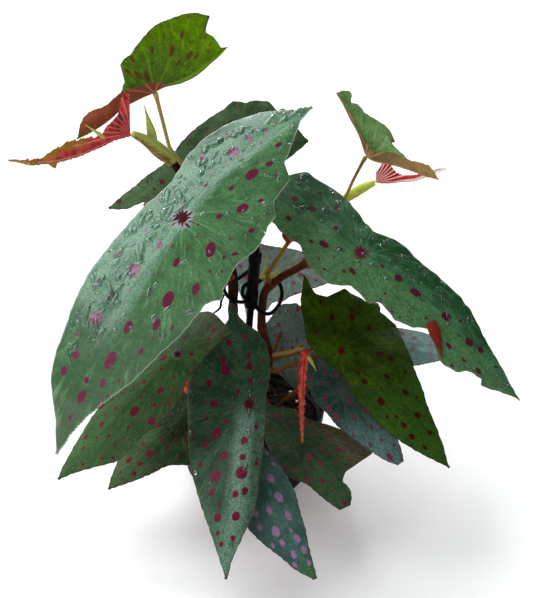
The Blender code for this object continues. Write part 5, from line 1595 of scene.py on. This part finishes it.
def scale_leaf(shape, base, tip, width, cup, kind=0):
    """Adds a pointed bud scale, cupped across and bent along its length."""
    base, tip = np.array(base, float), np.array(tip, float)
    run = tip - base
    ahead = unit(run)
    side = unit(np.cross(ahead, (0.25, -0.9, 0.4)))
    up = np.cross(side, ahead)
    rows, columns = SCALE_GRID
    t = np.linspace(0, 1, rows)[:, None]
    s = np.linspace(-1, 1, columns)[None, :]
    belly = 0.55 + 0.45 * np.sin(np.pi * np.clip(t * 1.3, 0, 1))
    wide = width * belly * (1 - t) ** 0.8 + SCALE_LEAST
    lift = cup * wide * (1 - s**2) + np.sin(np.pi * t)
    points = base + t[..., None] * run + (s * wide)[..., None] * side + lift[..., None] * up
    upper = points + SCALE_HALF * up
    lower = points - SCALE_HALF * up
    faces = np.concatenate(sheet_faces(rows, columns))[:, ::-1]
    marks = np.zeros((2 * rows * columns, 3))
    marks[:, 0] = np.tile(np.repeat(t.ravel(), columns), 2)
    shape.add(np.concatenate([upper.reshape(-1, 3), lower.reshape(-1, 3)]), faces, kind, stem=marks)


def stem_at(name, height):
    """A point of the stem's centre line at this height, with its direction and radius there."""
    stem = STEMS[name]
    where = np.linspace(0, 1, FINE_STEPS)
    points = along(stem["line"], where)
    low = int(np.searchsorted(points[:, 2], height)) - 1
    step = points[low + 1] - points[low]
    share = (height - points[low, 2]) / step[2]
    radius = np.interp(where[low], (0, 1), stem["radius"])
    return points[low] + share * step, unit(step), radius


def stalk_line(leaf, start):
    """The stalk's centre line, from its start in the blade to the skin of its stem."""
    at = lengths(leaf["midrib"])[leaf.get("heart", HEART_AT)]
    middle, _, _, up = frames(leaf, [at])
    stalk = leaf["stalk"]
    dropped = middle[0] - stalk.get("drop", STALK_DROP) * up[0]
    line = [start, dropped, *[np.array(place, float) for place in stalk["via"]]]
    if stalk["on"] == "mix":
        x, y, z = stalk["foot"]
        return [*line, np.array((x, y, z + STALK_RISE), float), np.array((x, y, z), float)]
    axis, direction, radius = stem_at(stalk["on"], stalk["height"])
    out = line[-1] - axis
    out = unit(out - direction * np.dot(out, direction))
    return [*line, axis + out * (radius + STALK_CLEAR), axis + out * radius * STALK_SUNK]


def build_leaf(name, leaf):
    """A grown leaf with its stalk. Returns its blade, for the water on it."""
    look = LOOKS[leaf["look"]]
    rng = seeded(name, 5)
    length = line_length(leaf["midrib"])
    widest = max(max(leaf["left"]), max(leaf["right"]))
    sheet = Sheet(name, leaf, int(length / GRID_STEP) + 20, int(widest / GRID_STEP) + 8)
    shape = Shape()
    sheet.close(shape, *BLADE_HALF, leaf_spot=sheet.spot_field(name, rng), leaf_tint=sheet.tints_and_painted_light())
    heart = np.unravel_index(np.argmin(sheet.reach), sheet.reach.shape)
    line = stalk_line(leaf, sheet.points[heart] - STALK_START * sheet.normals[heart])
    run = line_length(line)
    (top_flare, top_reach), (foot_flare, foot_reach) = STALK_FLARES

    def radius(where, turn):
        gone = where * run
        flare = 1 + top_flare * np.exp(-gone / top_reach) + foot_flare * np.exp(-(run - gone) / foot_reach)
        round_top = np.sqrt(np.clip(gone / 0.8, 0.02, 1))
        return leaf["stalk"]["radius"] * STALK_SHARE * flare * round_top * (1 + 0.05 * np.sin(3 * turn))

    def scar(share):
        return 1 - eased(share, 0.0, 0.06) + eased(share, 0.95, 1.0)

    swept(shape, line, radius, sides=14, rings=90, kind=2, scar=scar, soft=STALK_SOFT)
    for kind, key in ((3, "slivers"), (4, "flaps")):
        for base, tip, width in leaf.get(key, []):
            scale_leaf(shape, base, tip, width, cup=0.5, kind=kind)
    skins = [
        leaf_skin(name + "_upper", look, leaf.get("tints_and_painted_light", [])),
        leaf_under(name + "_under", look),
        stalk_skin(name + "_stalk", *leaf.get("stalk_colours", look["stalk"])),
    ]
    if "slivers" in leaf:
        skins.append(green_skin(name + "_scale", *LEAF_SCALE))
    if "flaps" in leaf:
        skins.append(stalk_skin(name + "_flap", *FLAP))
    take_over(shape.build(name + "_leaf", skins), name)
    return sheet


def add_drop(shape, rng, centre, normal, way, size, long):
    """Adds one water drop: a low dome with an uneven outline."""
    side = unit(np.cross(normal, way))
    way = np.cross(side, normal)
    turn = 2 * math.pi * np.arange(DROP_SIDES) / DROP_SIDES
    two_lobes = 0.16 * np.sin(2 * turn + rng.uniform(0, 6.3))
    three_lobes = 0.1 * np.sin(3 * turn + rng.uniform(0, 6.3))
    outline = 1 + two_lobes + three_lobes
    height = size * rng.uniform(0.5, 0.7)
    points = []
    for share, rise in DROP_PROFILE:
        wide = share * size * outline
        spoke = (np.cos(turn) * wide * long)[:, None] * way + (np.sin(turn) * wide)[:, None] * side
        points.append(centre + spoke + rise * height * normal)
    top = len(points) * DROP_SIDES
    points = np.concatenate([*points, [centre + height * normal], [centre - 0.15 * height * normal]])
    index, beside, quads = tube_faces(len(DROP_PROFILE), DROP_SIDES)
    faces = [*quads]
    for j in range(DROP_SIDES):
        faces.append((index[-1, j], beside[-1, j], top))
        faces.append((beside[0, j], index[0, j], top + 1))
    shape.add(points, faces)


def build_drops(name, kind, sheet, drops, skin):
    """Water drops and short runs of water on the upper side of a leaf."""
    rng = seeded(name, len(kind) + 6)
    shape = Shape()
    rows, columns = sheet.across.shape
    half = columns // 2
    for count, (first, last), (inner, outer), (small, large), stretch in drops:
        for _ in range(count):
            row = int(rng.uniform(first, last) * (rows - 1))
            column = int(np.clip(half - rng.uniform(inner, outer) * half, 1, columns - 2))
            size = small + (large - small) * rng.random() ** 2
            if sheet.edge[row, column] < size * 1.3:
                continue
            normal = sheet.normals[row, column]
            down = np.gradient(sheet.points[:, column], axis=0)[row]
            way = unit(down + 0.45 * np.linalg.norm(down) * rng.normal(size=3))
            long = 1 + rng.random() ** 1.5 * stretch
            centre = sheet.points[row, column] + 0.3 * normal
            add_drop(shape, rng, centre, normal, way, size, long)
    obj = shape.build(name + "_" + kind, [skin])
    obj.visible_shadow = False


def build_young(name, leaf):
    """A folded young leaf with its pleats and frills."""
    shape = Shape()
    Sheet(name, leaf, *leaf["grid"]).close(shape, *YOUNG_HALF)
    for base, tip, width in leaf.get("slivers", []):
        scale_leaf(shape, base, tip, width, cup=0.4, kind=2)
    skin = pleat_skin(name + "_skin", leaf["look"])
    scale = green_skin(name + "_scale", *YOUNG_SCALE)
    take_over(shape.build(name + "_leaf", [skin, skin, scale]), name)


def build_shoot(name, shoot):
    """A green shoot with its bud scales."""
    shape = Shape()
    swept(shape, shoot["line"], shoot["radius"], sides=20, rings=60)
    for base, tip, width in shoot["slivers"]:
        scale_leaf(shape, base, tip, width, cup=0.6)
    take_over(shape.build(name + "_stem", [green_skin(name + "_skin", *shoot["skin"])]), name)


def build_cane(name):
    """A cane with swollen joints and ring scars, and ribs too faint to see from afar."""
    stem = STEMS[name]
    at = np.linspace(0, 1, FINE_STEPS)
    heights = along(stem["line"], at)[:, 2]
    shares = [np.interp(joint, heights, at) for joint in stem["joints"]]
    foot, tip = stem["radius"]
    length = line_length(stem["line"])

    def radius(where, turn):
        size = foot + (tip - foot) * where + 0 * turn
        for share in shares:
            off = (where - share) * length
            swell = SWELLING[0] * np.exp(-((off / SWELLING[1]) ** 2))
            groove = GROOVE[0] * np.exp(-((off / GROOVE[1]) ** 2))
            size = size * (1 + swell - groove)
        return size * (1 + 0.02 * np.sin(5 * turn + 9 * where) + 0.012 * np.sin(60 * where))

    def scar(share):
        near = np.zeros_like(share)
        for joint in shares:
            near = np.maximum(near, np.exp(-((((share - joint) * length) / SCAR_WIDTH) ** 2)))
        return near

    shape = Shape()
    swept(shape, stem["line"], radius, sides=24, rings=260, scar=scar)
    take_over(shape.build(name + "_stem", [stalk_skin(name + "_skin", *stem["skin"])]), name)


def build_stake(skin):
    """A rod with six faint flutes and a rounded top."""
    stem = STEMS["stake"]

    def radius(where, turn):
        flutes = 0.08 * np.cos(6 * turn)
        point = np.clip((1 - where) * 40, 0, 1) ** 0.5
        return (stem["radius"][0] - 0.1 + flutes) * (0.35 + 0.65 * point)

    shape = Shape()
    swept(shape, stem["line"], radius, sides=36, rings=160)
    take_over(shape.build("stake_rod", [skin]), "stake")


def turned(shape, profile, steps, centre=(0.0, 0.0)):
    """Adds a closed round solid whose profile runs once round its section and joins up."""
    profile = np.asarray(profile, float)
    turn = 2 * math.pi * np.arange(steps) / steps
    rings = np.stack([
        profile[:, 0, None] * np.cos(turn) + centre[0],
        profile[:, 0, None] * np.sin(turn) + centre[1],
        np.repeat(profile[:, 1, None], steps, axis=1),
    ], axis=-1)
    count = len(profile)
    index = np.arange(count * steps).reshape(count, steps)
    after = np.roll(index, -1, axis=0)
    quads = np.stack([index, after, np.roll(after, -1, axis=1), np.roll(index, -1, axis=1)], axis=-1)
    shape.add(rings.reshape(-1, 3), quads.reshape(-1, 4))


def build_clip(skin):
    """A waisted sleeve on the stake with its wire loops and tail."""
    x, y, _ = STEMS["stake"]["line"][0]
    bore = STEMS["stake"]["radius"][0] + CLIP_CLEAR
    waist = CLIP_RADIUS - CLIP_WAIST
    sleeve = [
        (bore, CLIP_FOOT), (bore, CLIP_TOP), (CLIP_RADIUS - 0.5, CLIP_TOP), (CLIP_RADIUS, CLIP_TOP - 0.5),
        (CLIP_RADIUS, CLIP_TOP - 6), (waist, CLIP_TOP - 6.4), (waist, CLIP_FOOT + 9.4),
        (CLIP_RADIUS, CLIP_FOOT + 9), (CLIP_RADIUS, CLIP_FOOT + 0.5), (CLIP_RADIUS - 0.5, CLIP_FOOT),
    ]
    shape = Shape()
    turned(shape, sleeve, 48, (x, y))
    for loop in CLIP_LOOPS:
        swept(shape, loop, (CLIP_WIRE, CLIP_WIRE), sides=14, rings=90)
    swept(shape, CLIP_TAIL, CLIP_TAIL_WIRE, sides=12, rings=40)
    take_over(shape.build("support_clip_wire", [skin]), "support_clip")


def wall_radius(height):
    """The outside of the pot's wall at this height."""
    return POT_BASE_RADIUS + (POT_TOP_RADIUS - LIP_STEP - POT_BASE_RADIUS) * height / POT_HEIGHT


def build_pot(skin):
    """A thin moulded pot: floor with drain holes, flared wall with faint rings, and a turned-out lip."""
    lip_foot = POT_HEIGHT - LIP_DEPTH
    quarter = np.linspace(0, math.pi / 2, 4)
    inner_lip = POT_TOP_RADIUS - POT_WALL + LIP_ROUND
    outer_lip = POT_TOP_RADIUS - LIP_ROUND
    round_top = POT_HEIGHT - LIP_ROUND
    rounds = [(inner_lip - LIP_ROUND * math.cos(a), round_top + LIP_ROUND * math.sin(a)) for a in quarter]
    rounds += [(outer_lip + LIP_ROUND * math.sin(a), round_top + LIP_ROUND * math.cos(a)) for a in quarter]
    inside = [(0.01, POT_FLOOR), (wall_radius(POT_FLOOR) - POT_WALL - 1, POT_FLOOR)]
    inside += [(wall_radius(h) - POT_WALL, h) for h in np.linspace(POT_FLOOR + 1, lip_foot, 12)]
    inside += [(POT_TOP_RADIUS - POT_WALL - 0.4, lip_foot + 1.6)]
    lip = [
        (POT_TOP_RADIUS, POT_HEIGHT - 1), (POT_TOP_RADIUS - 0.15, lip_foot + 0.9),
        (POT_TOP_RADIUS - 0.3, lip_foot + 0.3), (POT_TOP_RADIUS - 0.65, lip_foot),
        (wall_radius(lip_foot) + 0.2, lip_foot - 0.15), (wall_radius(lip_foot), lip_foot - 0.5),
    ]
    wall = []
    for height in np.linspace(lip_foot - 1.5, 2.0, WALL_RINGS):
        band = sum(0.1 * math.exp(-(((height - at) / 0.5) ** 2)) for at in (lip_foot - 5, 9))
        wall.append((wall_radius(height) - 0.1 + band, height))
    foot = [(POT_BASE_RADIUS + 0.1, 1.0), (POT_BASE_RADIUS - 0.3, 0.3), (POT_BASE_RADIUS - 0.9, 0)]
    foot += [(POT_BASE_RADIUS - 2.6, 0), (POT_BASE_RADIUS - 3.2, 0.35), (26, 0.35), (0.01, 0.35)]
    shape = Shape()
    turned(shape, inside + rounds + lip + wall + foot, POT_STEPS)
    obj = shape.build("pot_shell", [skin])
    for i in range(DRAIN_HOLES):
        angle = 2 * math.pi * (i + 0.5) / DRAIN_HOLES
        place = (DRAIN_AT * math.cos(angle) * MM, DRAIN_AT * math.sin(angle) * MM, POT_FLOOR / 2 * MM)
        bpy.ops.mesh.primitive_cylinder_add(
            vertices=32, radius=DRAIN_RADIUS * MM, depth=DRAIN_CUT * MM, location=place
        )
        cutter = bpy.context.active_object
        hole = obj.modifiers.new("hole", "BOOLEAN")
        hole.operation = "DIFFERENCE"
        hole.object = cutter
        bpy.context.view_layer.update()
        graph = bpy.context.evaluated_depsgraph_get()
        mesh = bpy.data.meshes.new_from_object(obj.evaluated_get(graph))
        obj.modifiers.clear()
        obj.data = mesh
        bpy.data.objects.remove(cutter)
    obj.data.set_sharp_from_angle(angle=math.radians(38))
    take_over(obj, "pot")


def pebble(rng, size, flat):
    """Points and faces of one crumb: a rough ball, flattened and lengthened."""
    bm = bmesh.new()
    bmesh.ops.create_icosphere(bm, subdivisions=1, radius=1)
    points = np.array([v.co[:] for v in bm.verts])
    faces = [tuple(v.index for v in f.verts) for f in bm.faces]
    bm.free()
    points = points * (1 + 0.16 * rng.normal(size=(len(points), 1)))
    points = points * size * np.array([rng.uniform(1.0, 1.5), rng.uniform(0.65, 1.0), flat])
    w, x, y, z = unit(rng.normal(size=4))
    turn = np.array([
        [1 - 2 * (y * y + z * z), 2 * (x * y - z * w), 2 * (x * z + y * w)],
        [2 * (x * y + z * w), 1 - 2 * (x * x + z * z), 2 * (y * z - x * w)],
        [2 * (x * z - y * w), 2 * (y * z + x * w), 1 - 2 * (x * x + y * y)],
    ])
    return points @ turn.T, faces


def mix_top(points):
    """Height of the mix at these places."""
    away = np.hypot(points[..., 0], points[..., 1])
    fall = (away / wall_radius(MIX_EDGE_HEIGHT)) ** 2
    return MIX_CENTRE_HEIGHT - 1.0 - (MIX_CENTRE_HEIGHT - MIX_EDGE_HEIGHT) * fall


def build_mix():
    """The bed, down to the pot's floor, and the crumbs that lie on it."""
    rng = np.random.default_rng(MIX_SEED)
    edge = wall_radius(MIX_EDGE_HEIGHT) - POT_WALL - MIX_CLEAR
    turn = 2 * math.pi * np.arange(MIX_STEPS) / MIX_STEPS
    away = np.linspace(0.02, 1, MIX_RINGS)[:, None] * edge
    grid = np.stack([away * np.cos(turn), away * np.sin(turn), 0 * away + 0 * turn], axis=-1)
    lumps = sum(height * clouds(rng, grid, size) for height, size in MIX_LUMPS)
    grid[..., 2] = mix_top(grid) + np.clip(lumps, -1.2, 0.9) * (1 - eased(away, edge - 3, edge))
    floor = POT_FLOOR + 0.3
    low = wall_radius(floor) - POT_WALL - MIX_CLEAR
    skirt = [(edge - 0.1, MIX_EDGE_HEIGHT - 2.2), (low, floor), (low - 6, floor), (0.5, floor)]
    under = np.array([[(r * math.cos(a), r * math.sin(a), z) for a in turn] for r, z in skirt])
    points = np.concatenate([grid, under])
    index, _, quads = tube_faces(len(points), MIX_STEPS)
    shape = Shape()
    shape.add(points, [*np.roll(quads[:, ::-1], 1, axis=1), index[0], index[-1][::-1]])
    take_over(shape.build("mix_bed", [soil_skin()]), "potting_mix")
    for name, crumb in CRUMBS.items():
        small, large = crumb["sizes"]
        crumbs = Shape()
        for _ in range(crumb["count"]):
            size = small + (large - small) * rng.random() ** 1.6
            r = (edge - size * 1.3) * math.sqrt(rng.random())
            a = rng.uniform(0, 2 * math.pi)
            points, faces = pebble(rng, size, crumb["flat"])
            centre = np.array([r * math.cos(a), r * math.sin(a), 0])
            centre[2] = mix_top(centre) + size * 0.2
            crumbs.add(points + centre, faces, tone=np.full(len(points), rng.random()))
        obj = crumbs.build(name, [crumb_skin(*crumb["skin"])])
        obj.data.set_sharp_from_angle(angle=math.radians(30))


def build_floor():
    """The white table, which lights up a little by itself."""
    n = Nodes("floor", Specular_IOR_Level=0.2)
    place = n.place()
    colour = n.mix(n.step(n.noise(place, 0.01, 3.0), 0.3, 0.7), *FLOOR_COLOURS)
    n.set(n.shader, "Emission Color", (1.0, 1.0, 1.0))
    n.set(n.shader, "Emission Strength", FLOOR_GLOW)
    skin = n.finish(colour, 0.85, n.bump(n.noise(place, 0.4, 2.0), 0.05, 0.3))
    mesh = bpy.data.meshes.new("floor")
    corners = [(x * FLOOR_HALF, y * FLOOR_HALF, 0) for x, y in ((-1, -1), (1, -1), (1, 1), (-1, 1))]
    mesh.from_pydata(corners, [], [(0, 1, 2, 3)])
    mesh.materials.append(skin)
    placed("floor", mesh)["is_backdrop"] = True


def build_light():
    """A studio room: brightness by direction, from a window that slants over the plant's left."""
    world = bpy.data.worlds.new("room")
    bpy.context.scene.world = world
    n = Nodes(world, "Background")
    split = n.add("SeparateXYZ")
    n.set(split, 0, n.add("TexCoord").outputs["Generated"])
    x, y, z = split.outputs
    slant = n.step(n.minus(y, n.times(x, WINDOW_SLANT)), *WINDOW_EDGE)
    window = n.times(n.times(slant, n.step(x, *WINDOW_LEFT)), n.step(z, *WINDOW_HIGH))
    front = n.times(n.step(y, *FRONT_NEAR), n.step(z, *FRONT_LOW))
    back = n.times(n.step(y, *BACK_FAR), n.step(x, *BACK_RIGHT))
    strength = ROOM_STRENGTH
    for light, most in ((window, WINDOW_STRENGTH), (front, FRONT_STRENGTH), (back, BACK_STRENGTH)):
        strength = n.plus(strength, n.times(light, most))
    n.set(n.shader, "Color", ROOM_COLOUR)
    n.set(n.shader, "Strength", strength)
    lamp = bpy.data.lights.new("lamp", "AREA")
    lamp.shape = "DISK"
    lamp.size = LAMP_SIZE
    lamp.energy = LAMP_WATTS
    obj = placed("lamp", lamp)
    away = Vector(LAMP_WAY).normalized()
    obj.location = Vector(LAMP_AIM) + away * LAMP_DISTANCE
    obj.rotation_euler = away.to_track_quat("Z", "Y").to_euler()
    bpy.context.scene.view_settings.view_transform = "Standard"


def main():
    build_camera()
    build_light()
    build_floor()
    build_pot(plastic_skin("pot_plastic", *POT_PLASTIC))
    build_mix()
    build_cane("cane_left")
    build_cane("cane_right")
    black = plastic_skin("black_plastic", *BLACK_PLASTIC)
    build_stake(black)
    build_clip(black)
    waters = {kind: water_skin(*water) for kind, water in WATERS.items()}
    for name, leaf in LEAVES.items():
        sheet = build_leaf(name, leaf)
        for kind, water in waters.items():
            if kind in leaf:
                build_drops(name, kind, sheet, leaf[kind], water)
    for name, leaf in YOUNG.items():
        build_young(name, leaf)
    for name, shoot in SHOOTS.items():
        build_shoot(name, shoot)


main()

size = {"cad": CAD_BOX, "visual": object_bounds()}
{key: [list(map(float, corner)) for corner in box] for key, box in size.items()}
